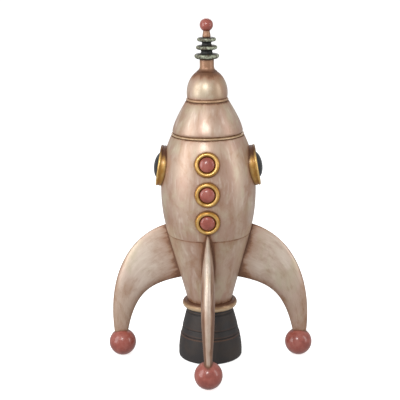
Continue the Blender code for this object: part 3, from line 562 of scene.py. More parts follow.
def metal_leaf_finish(f):
    """Rubbed metallic paint: bright on raised edges, mid tone elsewhere, brown glaze in the corners and
    painted shade on the top of the porthole rings.
    """
    f.give(IOR=1.45, Coat_Roughness=0.2)
    metal, metallic = METALS[f.slot]
    grain, place = f.mark("grain", "Vector"), f.place()
    fine = f.streaks(grain, (200, 200, 40))
    cloud = f.noise(place, 38.0, 3.0, 0.6, 0.3)
    colour = f.mix(metal, metal + "_bright", f.band(cloud + f.mark("wear") * 0.45, 0.50, 0.95))
    # The glaze mark here also holds painted shade on the top of the porthole rings.
    glaze = f.capped(f.mark("glaze") * (0.45 + 0.9 * cloud))
    colour = f.mix(colour, "glaze_dark", f.band(glaze, 0.05, 1.0))
    colour = f.mix(colour, "glaze_dark", f.band(f.noise(place, 420.0), 0.64, 0.72) * 0.35)
    f.give(Base_Color=colour, Roughness=0.27 + 0.22 * fine + 0.2 * glaze)
    f.give(Metallic=metallic - 0.5 * glaze, Coat_Weight=0.3 - 0.25 * glaze)
    f.bump(fine * 0.5 + cloud, 0.3, 0.0005)


def rose_finish(f):
    """Dusty brick paint with a soft gloss, chalky clouds and a few dark specks."""
    f.give(IOR=1.48, Coat_Roughness=0.15)
    place = f.place()
    cloud = f.noise(place, 34.0, 3.0, 0.6, 0.2)
    fine = f.noise(place, 260.0, 3.0, 0.6)
    colour = f.mix("rose", "rose_dust", f.band(cloud, 0.42, 0.66) * 0.55)
    colour = f.mix(colour, "rose_deep", f.band(1 - cloud, 0.48, 0.68) * 0.6)
    colour = f.mix(colour, "glaze_dark", f.capped(f.mark("glaze") * (0.5 + fine)) * 0.85)
    colour = f.mix(colour, "glaze_dark", f.band(fine, 0.66, 0.74) * 0.45)
    f.give(Base_Color=colour, Roughness=0.30 + 0.14 * fine, Coat_Weight=0.65 - 0.4 * f.mark("glaze"))
    f.bump(cloud + 0.5 * fine, 0.25, 0.0005)


def charcoal_finish(f):
    """Dark satin paint with a brown cast, rubbed brown on the edges of its steps, with a painted highlight on
    the top edge of the skirt.
    """
    f.give(IOR=1.45)
    grain, place = f.mark("grain", "Vector"), f.place()
    cloud = f.noise(place, 14.0, 4.0, 0.6, 0.3)
    fine = f.streaks(grain, (60, 60, 420))
    colour = f.mix("charcoal", "charcoal_brown", f.band(cloud, 0.38, 0.66))
    # Brown over the marked edges: rubbed paint, and a painted highlight on the skirt's top edge.
    colour = f.mix(colour, "glaze_warm", f.capped(f.mark("wear") * (0.3 + cloud)) * 0.55)
    colour = f.mix(colour, "black", f.capped(f.mark("glaze")) * 0.8)
    f.give(Base_Color=colour, Roughness=0.40 + 0.20 * fine + 0.1 * cloud)
    f.bump(fine * 0.6 + cloud, 0.3, 0.0005)


def verdigris_finish(f):
    """Green-black bronze with pale mint over its raised rim: rubbed patina and a painted highlight on the
    rounded rim.
    """
    f.give(IOR=1.45)
    grain, place = f.mark("grain", "Vector"), f.place()
    cloud = f.noise(place, 90.0, 3.0, 0.65, 0.3)
    fine = f.streaks(grain, (330, 330, 120))
    rubbed_and_lit = f.mark("wear") * (0.12 + 1.1 * f.band(cloud, 0.40, 0.66)) + 0.10 * f.band(fine, 0.55, 0.7)
    colour = f.mix("verdigris", "glaze_dark", f.band(1 - cloud, 0.45, 0.65) * 0.5)
    colour = f.mix(colour, "mint", f.capped(rubbed_and_lit) * 0.92)
    f.give(Base_Color=colour, Roughness=0.45 + 0.2 * fine, Metallic=0.25 - 0.2 * cloud)
    f.bump(fine + cloud, 0.4, 0.0005)


def smoked_finish(f):
    """Dark blue-grey dome with a high gloss and faint brushed clouds."""
    f.give(IOR=1.38, Coat_Weight=0.15, Coat_Roughness=0.12)
    place = f.place()
    cloud = f.streaks(place, (30, 30, 12), distortion=0.4)
    colour = f.mix("smoke", "smoke_light", f.band(cloud, 0.42, 0.7) * 0.6)
    colour = f.mix(colour, "black", f.capped(f.mark("glaze")) * 0.8)
    f.give(Base_Color=colour, Roughness=0.24 + 0.22 * cloud)
    f.bump(cloud, 0.15, 0.0004)


def dark_spacer_finish(f):
    """Near-black green spacer with dull scuffs."""
    f.give(IOR=1.45)
    place = f.place()
    cloud = f.noise(place, 120.0, 3.0, 0.6)
    colour = f.mix("black", "verdigris", f.band(cloud, 0.45, 0.7) * 0.8)
    f.give(Base_Color=colour, Roughness=0.4 + 0.25 * cloud)
    f.bump(cloud, 0.3, 0.0004)


def zinc_finish(f):
    """Zinc-plated steel: grey crystals with dull spots."""
    place = f.place()
    crystal = f.node("ShaderNodeTexVoronoi", {"feature": "F1"}, {"Vector": place, "Scale": 220.0})
    cloud = f.noise(place, 45.0, 3.0)
    colour = f.mix((0.42, 0.43, 0.45), (0.62, 0.63, 0.65), f.capped(crystal * 1.4))
    f.give(Base_Color=colour, Metallic=0.9 - 0.2 * cloud, Roughness=0.28 + 0.3 * cloud)
    f.bump(crystal, 0.1, 0.0003)


def plywood_finish(f):
    """Birch plywood: long pale grain on the faces and thin dark glue lines at the edge."""
    place = f.place()
    grain = f.streaks(place, (9, 160, 160), 4.0, 0.6, 0.5)
    layers = f.node("ShaderNodeTexWave", {"bands_direction": "Z"}, {"Vector": place, "Scale": 105.0})
    colour = f.mix((0.62, 0.46, 0.29), (0.42, 0.27, 0.14), f.band(grain, 0.42, 0.66))
    colour = f.mix(colour, (0.25, 0.15, 0.08), f.band(layers, 0.86, 0.97) * 0.6)
    f.give(Base_Color=colour, Roughness=0.55 + 0.2 * grain)
    f.bump(grain, 0.3, 0.0005)


def bare_glass_fibre_finish(f):
    """Unpainted glass fibre: a cloudy straw resin with chopped strands."""
    place = f.place()
    strands = f.streaks(place, (330, 90, 90), distortion=1.5)
    crossed = f.streaks(place, (90, 330, 160), distortion=1.5, shift=(4, 4, 4))
    colour = f.mix((0.46, 0.41, 0.27), (0.66, 0.62, 0.47), f.band(strands + crossed, 0.9, 1.2))
    f.give(Base_Color=colour, Roughness=0.42 + 0.3 * strands)
    f.bump(strands + crossed, 0.35, 0.0006)


def black_plastic_finish(f):
    """Moulded black plastic with a fine even texture."""
    place = f.place()
    spark = f.noise(place, 900.0, 2.0)
    colour = f.mix((0.018, 0.018, 0.02), (0.04, 0.04, 0.043), f.band(f.noise(place, 60.0), 0.4, 0.65))
    f.give(Base_Color=colour, Roughness=0.42 + 0.2 * spark)
    f.bump(spark, 0.25, 0.0003)


FINISHES = {}
MAKERS = {
    "pearl_champagne": pearl_finish,
    "antique_gold": metal_leaf_finish,
    "bronze_wash": metal_leaf_finish,
    "copper_wash": metal_leaf_finish,
    "dusty_rose": rose_finish,
    "charcoal": charcoal_finish,
    "verdigris": verdigris_finish,
    "smoked_dome": smoked_finish,
    "dark_spacer": dark_spacer_finish,
    "zinc_steel": zinc_finish,
    "plywood": plywood_finish,
    "bare_glass_fibre": bare_glass_fibre_finish,
    "black_plastic": black_plastic_finish,
}


def finish_for(slot):
    """The finish of a slot, made the first time that it is asked for."""
    if slot not in FINISHES:
        finish = Finish(slot)
        MAKERS[slot](finish)
        FINISHES[slot] = finish.material
    return FINISHES[slot]


# ---- settings


def colour_setting(name, description, default):
    return FloatVectorProperty(
        name=name, description=description, subtype="COLOR", size=3, min=0, max=1, default=default
    )


def power_setting(name, description, default):
    return FloatProperty(name=name, description=description, default=default, min=0, subtype="POWER")


class RocketColours(PropertyGroup):
    """Colours of the finishes."""

    champagne: colour_setting("Champagne", "Main pearl paint", (0.57, 0.415, 0.315))
    pink: colour_setting("Pink cloud", "Warm clouds in the pearl paint", (0.48, 0.295, 0.22))
    olive: colour_setting("Olive cloud", "Greenish clouds in the pearl paint", (0.60, 0.52, 0.36))
    amber: colour_setting("Amber streak", "Darker brush marks", (0.36, 0.175, 0.080))
    # Pale streak also paints the highlight on the outer edge of the front and back fins. The two brown
    # colours also paint shade on the tail cone, the hull's sides, the front and back fins and the porthole
    # rings.
    highlight: colour_setting("Pale streak", "Lighter brush marks and worn edges", (0.90, 0.79, 0.68))
    glaze_warm: colour_setting("Thin glaze", "Brown glaze where it is thin", (0.27, 0.105, 0.038))
    glaze_dark: colour_setting("Thick glaze", "Brown glaze where it is thick", (0.11, 0.042, 0.018))
    gold: colour_setting("Gold", "Bezels", (0.50, 0.245, 0.045))
    gold_bright: colour_setting("Bright gold", "Rubbed edges of the bezels", (0.82, 0.53, 0.18))
    bronze: colour_setting("Bronze", "Tail ring and band", (0.42, 0.25, 0.13))
    bronze_bright: colour_setting("Bright bronze", "Rubbed edges of the rings", (0.66, 0.47, 0.29))
    copper: colour_setting("Copper", "Neck, bead and collar", (0.38, 0.20, 0.115))
    copper_bright: colour_setting("Bright copper", "Rubbed parts of the neck and collar", (0.50, 0.31, 0.18))
    rose: colour_setting("Rose", "Balls and buttons", (0.345, 0.078, 0.055))
    rose_dust: colour_setting("Rose dust", "Chalky clouds on the rose paint", (0.42, 0.15, 0.12))
    rose_deep: colour_setting("Deep rose", "Darker clouds on the rose paint", (0.24, 0.058, 0.042))
    charcoal: colour_setting("Charcoal", "Nozzle", (0.030, 0.026, 0.026))
    charcoal_brown: colour_setting("Brown charcoal", "Brown cast on the nozzle", (0.043, 0.032, 0.027))
    verdigris: colour_setting("Verdigris", "Discs", (0.028, 0.036, 0.028))
    mint: colour_setting("Mint", "Rubbed rims of the discs", (0.46, 0.49, 0.36))
    smoke: colour_setting("Smoke", "Porthole domes", (0.014, 0.014, 0.015))
    smoke_light: colour_setting("Light smoke", "Clouds on the porthole domes", (0.035, 0.036, 0.038))
    black: colour_setting("Black", "Deepest corners", (0.014, 0.013, 0.013))


class RocketSizes(PropertyGroup):
    """Sizes of the surfaces' detail."""

    around: IntProperty(name="Sides", description="Sides of the large turned pieces", default=240, min=48)
    fitting_around: IntProperty(
        name="Fitting sides", description="Sides of small turned pieces", default=96, min=24
    )
    groove: FloatProperty(
        name="Groove", description="Half width of the nozzle's grooves, in millimetres", default=2.6, min=0.5
    )
    fillet: FloatProperty(
        name="Root fillet", description="How far a fin widens at the hull, in millimetres", default=2.5
    )


class RocketLights(PropertyGroup):
    """Strength of the studio lights."""

    key: power_setting("Left light", "Large soft light on the left", 50)
    side: power_setting("Right light", "Soft light on the right", 22)
    front: power_setting("Front light", "Small light over the camera", 44)
    back: power_setting("Back light", "Soft light behind the object", 30)


class RocketSettings(PropertyGroup):
    """Everything that the panel shows."""

    colours: PointerProperty(type=RocketColours)
    sizes: PointerProperty(type=RocketSizes)
    lights: PointerProperty(type=RocketLights)


class RocketOperator:
    """What the operators share."""

    bl_options = {"REGISTER", "UNDO"}


# ---- pieces


class ROCKET_OT_nozzle(RocketOperator, Operator):
    """Nozzle: a flared waist with three grooves, a sunk band between the lower two and a rounded foot"""

    bl_idname = "rocket.nozzle"
    bl_label = "Nozzle"

    def execute(self, context):
        sizes = context.scene.rocket.sizes
        waist = bezier((84, NOZZLE_TOP), (13.5, -54.0), (0.9, 52.0), (NOZZLE_R, 17.0), 160)
        level = waist[:, 1]
        depth = sum(2.4 * np.exp(-(((level - z) / sizes.groove) ** 4)) for z in NOZZLE_GROOVES)
        depth += 0.9 * np.exp(-(((level - 106.5) / 9.5) ** 8))
        depth -= 0.9 * (level < 92) * np.exp(-((92 - level) / 30))
        waist[:, 0] = np.minimum(waist[:, 0] - depth, NOZZLE_R)
        foot = rounded([(107.8, 0), (105.8, 0), (105.8, 12.3), (110.6, 12.3)], 0.8)
        height = np.linspace(20, 180, 40)
        inside = np.column_stack((np.interp(height, level[::-1], waist[::-1, 0]) - 9, height))
        top = [(inside[-1, 0], 185.2), (12.6, 185.2), (12.6, 222.5), (77.4, 222.5)]
        top += [(77.4, NOZZLE_TOP), (84, NOZZLE_TOP)]
        corner = arc((107.8, 10), (10, 10), 0, -90, 12)
        outline = np.vstack((rounded(top, 1.2), waist[1:], corner, foot, inside))

        def glaze(radius, z):
            grooves = sum(near(np.abs(z - level), 2.4) for level in NOZZLE_GROOVES)
            return (radius > NOZZLE_CORE_R) * (0.9 * grooves + 0.8 * near(NOZZLE_TOP - z, 5))

        def wear(radius, z):
            # Lighter brown bands: rubbed paint on the lips above the grooves, and, strongest at 89.5, a
            # painted highlight on the top edge of the skirt.
            edges = ((0.7, 89.5, 2.2), (0.3, 99, 2.5), (0.25, 124, 2.5), (0.2, 183, 2.5))
            rubbed_and_lit = sum(amount * near(np.abs(z - level), width) for amount, level, width in edges)
            return (radius > NOZZLE_CORE_R) * rubbed_and_lit

        turned_piece("nozzle", outline, sizes.around, "charcoal", glaze=glaze, wear=wear, step=3.0)
        return {"FINISHED"}


class ROCKET_OT_tail(RocketOperator, Operator):
    """Tail: the half-round ring over the nozzle and the straight cone up to the seam"""

    bl_idname = "rocket.tail"
    bl_label = "Tail"

    def execute(self, context):
        around = context.scene.rocket.sizes.around
        rim = arc((86.5, 208.0), (14.5, 14.4), -90, 90, 40)
        turned_piece(
            "tail_ring", np.vstack(([(78, 193.6)], rim, [(78, 222.4)])), around, "bronze_wash", step=2.0,
            glaze=lambda r, z: 1.1 * near(TAIL_FOOT - z, 9) + 0.9 * near(z - 193.5, 3.5)
            + 0.8 * near(r - 79, 8),
            wear=lambda r, z: 1.3 * near(np.abs(z - 204.0), 6.0),
        )
        surface = turned_surface(np.vstack((TAIL_LINE, (TAIL_LINE - (SHELL_WALL, 0))[::-1])), around)
        make_piece("tail_cone", *surface, "pearl_champagne", glaze=skin_glaze(surface[0]))
        return {"FINISHED"}


class ROCKET_OT_hull(RocketOperator, Operator):
    """Hull: the pearl shell from the seam to the band, with its button holes, and the bead that caps it"""

    bl_idname = "rocket.hull"
    bl_label = "Hull"

    def execute(self, context):
        around = context.scene.rocket.sizes.around
        surface = hull_surface(around, BUTTON_HOLE_R)
        make_piece("hull_shell", *surface, "pearl_champagne", glaze=skin_glaze(surface[0]))
        rim = arc((126.1, 845.4), (4.3, 3.6), -90, 90, 24)
        band = np.vstack(([(117, 841.1), (125.6, 841.1)], rim, [(125.6, 849.7), (117, 849.7)]))
        turned_piece(
            "band_ring", band, around, "bronze_wash", step=1.5,
            glaze=lambda r, z: 0.5 * near(z - 841, 0.8) + 0.5 * near(850 - z, 0.8),
            wear=lambda r, z: near(np.abs(z - 845.6), 2.4),
        )
        return {"FINISHED"}


def fin_surface(stations, sides, fillet):
    """A fin in the plane y = 0: elliptical sections carried from the hull to the ball.

    The section's ends run along two cubic edges. Its half thickness is a quadratic of the share t, thinned
    towards the upper edge at the root, and it widens a little over the last millimetres at the hull.
    With the surface come how far ahead each point is, from -1 to 1, and its share of the way down."""
    t = np.concatenate(([0.0], np.linspace(0, 1, stations) ** 1.15, [1.02, 1.045]))
    outer = bezier((skin_radius(FIN_HIGH), FIN_HIGH), (135, -42), (19, 216), (360.8, 102), 400)
    inner = bezier((skin_radius(FIN_LOW), FIN_LOW), (107, -22), (-33, 153), (306.8, 102), 400)
    s = np.linspace(0, 1, 401)

    def at(curve):
        inside = np.column_stack([np.interp(np.clip(t, 0, 1), s, curve[:, k]) for k in range(2)])
        slope = (curve[-1] - curve[-2]) * 400
        return inside + np.maximum(t - 1, 0)[:, None] * slope

    outer, inner = at(outer), at(inner)
    share = np.clip(t, 0, 1)
    half = fin_half_thickness(share) + fillet * np.exp(-share / 0.035)
    point = 0.55 * (1 - share) ** 2
    angle = np.linspace(0, math.tau, sides, endpoint=False)
    along, across = np.cos(angle)[None], np.sin(angle)[None]
    spot = (outer + inner)[:, None] / 2 + (outer - inner)[:, None] / 2 * along[..., None]
    y = half[:, None] * across * (1 - point[:, None] * (1 + along) / 2)
    grid = np.stack((spot[..., 0], y, spot[..., 1]), axis=-1)
    root = grid[0]
    root[:, 0] = np.sqrt((skin_radius(root[:, 2]) - 2.5) ** 2 - root[:, 1] ** 2)
    middle = np.broadcast_to(root.mean(axis=0), (1, sides, 3))
    end = np.broadcast_to(grid[-1].mean(axis=0), (1, sides, 3))
    grid = np.concatenate((middle, grid, end))
    centre_line = run_length((outer + inner) / 2)
    length = np.concatenate(([0], centre_line, centre_line[-1:]))
    width = np.concatenate(([0], np.linalg.norm(outer - inner, axis=1) / 2, [0]))
    thickness = np.concatenate(([0], half, [0]))
    grain = (width[:, None] * along, thickness[:, None] * across, length[:, None] + 0 * along)
    ahead = np.append(np.tile(along.ravel(), len(t)), [0.0, 0.0])
    way = np.append(np.repeat(t, sides), [0.0, 1.0])
    return (*closed_surface(grid, np.stack(grain, axis=-1)), ahead, way)


class ROCKET_OT_fins(RocketOperator, Operator):
    """Fins: four curved legs from the hull to the foot balls"""

    bl_idname = "rocket.fins"
    bl_label = "Fins"

    def execute(self, context):
        points, fibre, faces, ahead, way = fin_surface(120, 72, context.scene.rocket.sizes.fillet)
        from_skin = np.hypot(points[:, 0], points[:, 1]) - skin_radius(points[:, 2])
        from_ball = np.linalg.norm(points - (FOOT_CIRCLE_R, 0.0, FOOT_BALL_R), axis=1) - FOOT_BALL_R
        glaze = 0.6 * near(from_skin, 4) + 0.35 * near(from_skin, 18) + 0.38 * near(from_skin, 65)
        glaze += 0.4 * near(from_ball, 3.5) + 0.5 * near(1 + ahead, 0.35) * near(way - 0.35, 0.5)
        glaze += 0.06 + 0.42 * near(1 - way, 0.42)
        wear = 0.7 * near(np.abs(ahead) - 0.6, 0.35) * (0.55 + 0.45 * near(np.abs(way - 0.35), 0.3))
        for side, degrees in SIDES.items():
            # Front and back fins: painted shade darkens the flat sides, and a painted highlight lightens the
            # outer edge. Left and right fins: a thin line of brown glaze on the outer edge.
            if side in ("front", "back"):
                edge_glaze, edge_wear = 0.55 * near(np.abs(ahead) - 0.8, 0.08), 0.6 * near(1 - ahead, 0.14)
            else:
                edge_glaze, edge_wear = 0.35 * near(1 - ahead, 0.04), 0
            shifted = fibre + (degrees * 3.0, degrees * 1.7, degrees * 5.0)
            make_piece(
                f"fin_{side}", points @ turn_about_z(degrees).T, shifted, faces, "pearl_champagne",
                glaze=glaze + edge_glaze, wear=wear + edge_wear,
            )
        return {"FINISHED"}


class ROCKET_OT_feet(RocketOperator, Operator):
    """Foot balls: four satin balls on the floor, each with glaze where its fin goes in"""

    bl_idname = "rocket.feet"
    bl_label = "Foot balls"

    def execute(self, context):
        ball = arc((0, FOOT_BALL_R), (FOOT_BALL_R, FOOT_BALL_R), 90, -90, 64)
        ball[[0, -1], 0] = 0
        points, fibre, faces = turned_surface(ball, context.scene.rocket.sizes.fitting_around)
        from_fin = 20 * (np.hypot((points[:, 0] - 3.8) / 27, points[:, 1] / 14.5) - 1.02)
        upper_part = points[:, 2] > FOOT_BALL_R + 10
        glaze = upper_part * 0.9 * near(from_fin, 4)
        for side, degrees in SIDES.items():
            put = (points + (FOOT_CIRCLE_R, 0, 0)) @ turn_about_z(degrees).T
            make_piece(f"foot_ball_{side}", put, fibre, faces, "dusty_rose", glaze=glaze)
        return {"FINISHED"}


class ROCKET_OT_portholes(RocketOperator, Operator):
    """Portholes: gilt bezels with a rolled rim over a hollow waist, and dark domes"""

    bl_idname = "rocket.portholes"
    bl_label = "Portholes"

    def execute(self, context):
        around = context.scene.rocket.sizes.fitting_around
        # radius, height, share of the skin's drop
        side = [(73.2, -1.5, 1), (73.4, 0.8, 1), (73.9, 2.4, 0.8), (73.7, 4.2, 0.4), (72.6, 5.6, 0.15)]
        side += [(73.4, 7.4, 0.05)]
        rim = arc((68.0, 10.0), (7.0, 5.0), -12, 180, 30)
        bore = [(57.0, 8.0), (50.6, 6.4), (50.3, 4.4), (53.8, 4.4), (53.8, -1.5)]
        outline = np.vstack(([row[:2] for row in side], rim, bore))
        drops = np.concatenate(([row[2] for row in side], np.zeros(len(rim) + 4), [1.0]))
        bulge = arc((0, 5.0), (50, 26), 90, 0, 40)
        bulge[0, 0] = 0
        dome = filled(np.vstack((bulge, [(53.5, 4.0), (53.5, 0.5), (0, 0.5)])), 3.0)
        for name in ("right", "left"):
            spot = skin_frame(SIDES[name], PORTHOLE_LEVEL)
            surface, radius, height = bezel_surface(outline, drops, 2.5, around, spot)
            glaze = 0.75 * near(height - 1.0, 2.2) + 0.45 * near(np.hypot(radius - 72.6, height - 5.6), 2.2)
            glaze += 1.1 * near(np.hypot(radius - 54, height - 7.5), 4.0)
            # Painted shade: the upper part of each ring is made darker, most at its top.
            glaze += 0.9 * near(70 - (surface[0] - spot[0]) @ spot[2], 26)
            wear = near(np.abs(height - 12.0), 3.5) * (radius > 62) + 0.6 * near(np.abs(height - 2.6), 1.6)
            make_piece(f"porthole_bezel_{name}", *surface, "antique_gold", glaze=glaze, wear=wear)
            surface = turned_surface(dome, around, spot)
            glaze = near(50.5 - axis_distance(surface[0], spot), 3)
            make_piece(f"porthole_dome_{name}", *surface, "smoked_dome", glaze=glaze)
        return {"FINISHED"}


class ROCKET_OT_buttons(RocketOperator, Operator):
    """Buttons: three gilt bezels on the front and their sprung domes, which slide in their holes"""

    bl_idname = "rocket.buttons"
    bl_label = "Buttons"

    def execute(self, context):
        around = context.scene.rocket.sizes.fitting_around
        crown = arc((36.0, 2.3), (8.0, 9.7), 0, 180, 36)
        foot = [(28, 1.0), (BUTTON_HOLE_R, 0.8), (BUTTON_HOLE_R, -1.4)]
        rise = [(BUTTON_BEZEL_R, -1.4), (BUTTON_BEZEL_R, 0.6), (44.0, 1.6)]
        outline = np.vstack((rise, crown, foot))
        drops = np.concatenate(([1.0, 1.0, 0.6], np.zeros(len(crown)), [0, 0.4, 1.0]))
        for name, level in BUTTONS.items():
            spot = skin_frame(SIDES["front"], level)
            surface, radius, height = bezel_surface(outline, drops, 2.0, around, spot)
            glaze = 0.8 * near(radius - 28, 2.2)
            glaze += 0.95 * near(BUTTON_BEZEL_R - radius, 2.4) * near(height - 1, 5)
            make_piece(
                f"button_bezel_{name}", *surface, "antique_gold",
                glaze=np.where(height > 11, 0, glaze), wear=near(np.abs(radius - 35.5), 3.4) * (height > 4),
            )
            lip_top = self.lip_top(level)
            lip_foot, stem_foot, housing_floor = lip_top - BUTTON_LIP_H, lip_top - 12.1, lip_top - 35.1
            under = [(BUTTON_R, 4.0), (BUTTON_R, lip_top), (BUTTON_LIP_R, lip_top), (BUTTON_LIP_R, lip_foot)]
            under += [(BUTTON_STEM_R, lip_foot), (BUTTON_STEM_R, stem_foot), (0, stem_foot)]
            cap = np.vstack((arc((0, 5.0), (BUTTON_R, 14.0), 90, 0, 40), rounded(under, 0.5, 3)))
            cap[[0, -1], 0] = 0
            surface = turned_surface(filled(cap, 2.5), around, spot)
            glaze = 0.9 * near((surface[0] - spot[0]) @ spot[3] - 5.5, 2.6)
            make_piece(f"button_dome_{name}", *surface, "dusty_rose", f"button_{name}", glaze=glaze)
            self.spring(name, spot, housing_floor, lip_foot)
        return {"FINISHED"}

    @staticmethod
    def lip_top(level):
        """Height of the dome's lip along the button's axis: just under the shoulder of its housing."""
        inner = inset(HULL_LINE, SHELL_WALL)
        wall_r = np.interp(level, inner[:, 1], inner[:, 0])
        margin, housing_wall, clearance = 2.5, 3.0, 1.1
        return math.sqrt(wall_r**2 - HOUSING_R**2) - skin_radius(level) - margin - housing_wall - clearance

    @staticmethod
    def spring(name, spot, floor, top):
        """A coil spring between the housing's floor and the dome's lip.

        The wire's middle is (R cos a, R sin a, h). h climbs slowly in the end coils, quickly between."""
        turns, coil_r, wire_r, gap = 5.5, 21.0, 1.3, 0.3
        angle = np.linspace(0, math.tau * turns, 265)
        foot, head, end = floor + gap + wire_r, top - gap - wire_r, 2.1 * wire_r
        middle = np.interp(angle / math.tau, [0, 1, turns - 1, turns], [foot, foot + end, head - end, head])
        round_wire = np.linspace(0, math.tau, 12, endpoint=False)[None]
        radius = coil_r + wire_r * np.cos(round_wire)
        height = middle[:, None] + wire_r * np.sin(round_wire)
        local = np.stack((radius * np.cos(angle)[:, None], radius * np.sin(angle)[:, None], height), axis=-1)
        caps = [np.broadcast_to(row.mean(axis=0), (1, *row.shape)) for row in (local[0], local[-1])]
        local = np.concatenate((caps[0], local, caps[1]))
        surface = closed_surface(placed(spot, *np.moveaxis(local, -1, 0)), local)
        piece = make_piece(f"button_spring_{name}", *surface, "zinc_steel")
        origin, out = spot[0], spot[3]
        length = top - gap - floor
        tuple((origin + floor * out) * MM)
        (length - BUTTON_TRAVEL) / length
        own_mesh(piece)


class ROCKET_OT_nose(RocketOperator, Operator):
    """Nose: the cone with its rolled rim, the bead on it and the dome"""

    bl_idname = "rocket.nose"
    bl_label = "Nose"

    def execute(self, context):
        around = context.scene.rocket.sizes.around
        outside = bezier((126.5, 859), (-5.9, 31), (20.6, -34.4), (77, CONE_TOP), 60)
        inside = inset(outside, SHELL_WALL)
        inside = inside[(inside[:, 1] > 862) & (inside[:, 1] < 955)]
        rim = [(116.5, 859.2), (116.5, CONE_FOOT), (121.5, CONE_FOOT), (126.0, 852.5), (126.5, 859)]
        top = [(76.6, CONE_TOP), (62, CONE_TOP), (62, 959), (inside[-1, 0], 959), inside[-1]]
        outline = np.vstack(
            (rounded(rim, [0.5, 1.5, 3.0], 8)[:-1], outside, rounded(top, 0.8)[:-1], inside[::-1])
        )
        turned_piece(
            "nose_cone", outline, around, "pearl_champagne", "nose",
            glaze=lambda r, z: 0.5 * near(z - 852, 2.2) + 0.34 * near(z - 852, 20)
            + 0.55 * near(CONE_TOP - z, 3.5) + 0.50 * near(CONE_TOP - z, 26),
        )
        bead = np.vstack(([(62, 964.4)], arc((70.6, 969.3), (5, 4.9), -90, 90, 24), [(62, 974.2)]))
        turned_piece(
            "nose_bead", bead, around, "copper_wash", "nose", step=1.5,
            glaze=lambda r, z: 0.35 * near(z - 964.4, 1.0) + 0.35 * near(974.2 - z, 1.0),
            wear=lambda r, z: 1.5 * near(np.abs(z - 969.6), 4.0),
        )
        end = math.degrees(math.acos(37.0 / DOME_R))
        start = -math.degrees(math.asin(18.0 / DOME_H))
        shell = arc((0, DOME_MIDDLE), (DOME_R, DOME_H), start, end, 72)
        hollow = arc((0, DOME_MIDDLE), (DOME_R - SHELL_WALL, DOME_H - SHELL_WALL), end, start + 4, 48)
        roof = rounded([shell[-1], (21.6, shell[-1][1] + 8.5), (21.6, hollow[0][1] + 4.0), hollow[0]], 0.8)
        outline = np.vstack((shell, roof[1:-1], hollow, [(DOME_R - 5.8, shell[0][1])]))
        turned_piece(
            "nose_dome", outline, around, "pearl_champagne", "nose",
            glaze=lambda r, z: 0.6 * near(z - 974.8, 3) + 0.35 * near(z - 974.8, 16)
            + 0.8 * near(NECK_FOOT - z, 6) + 0.95 * near(NECK_FOOT - z, 30),
        )
        return {"FINISHED"}


def node_levels(name):
    """Lowest and highest level of a CAD node."""
    low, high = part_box(name)
    return low[2] / MM, high[2] / MM


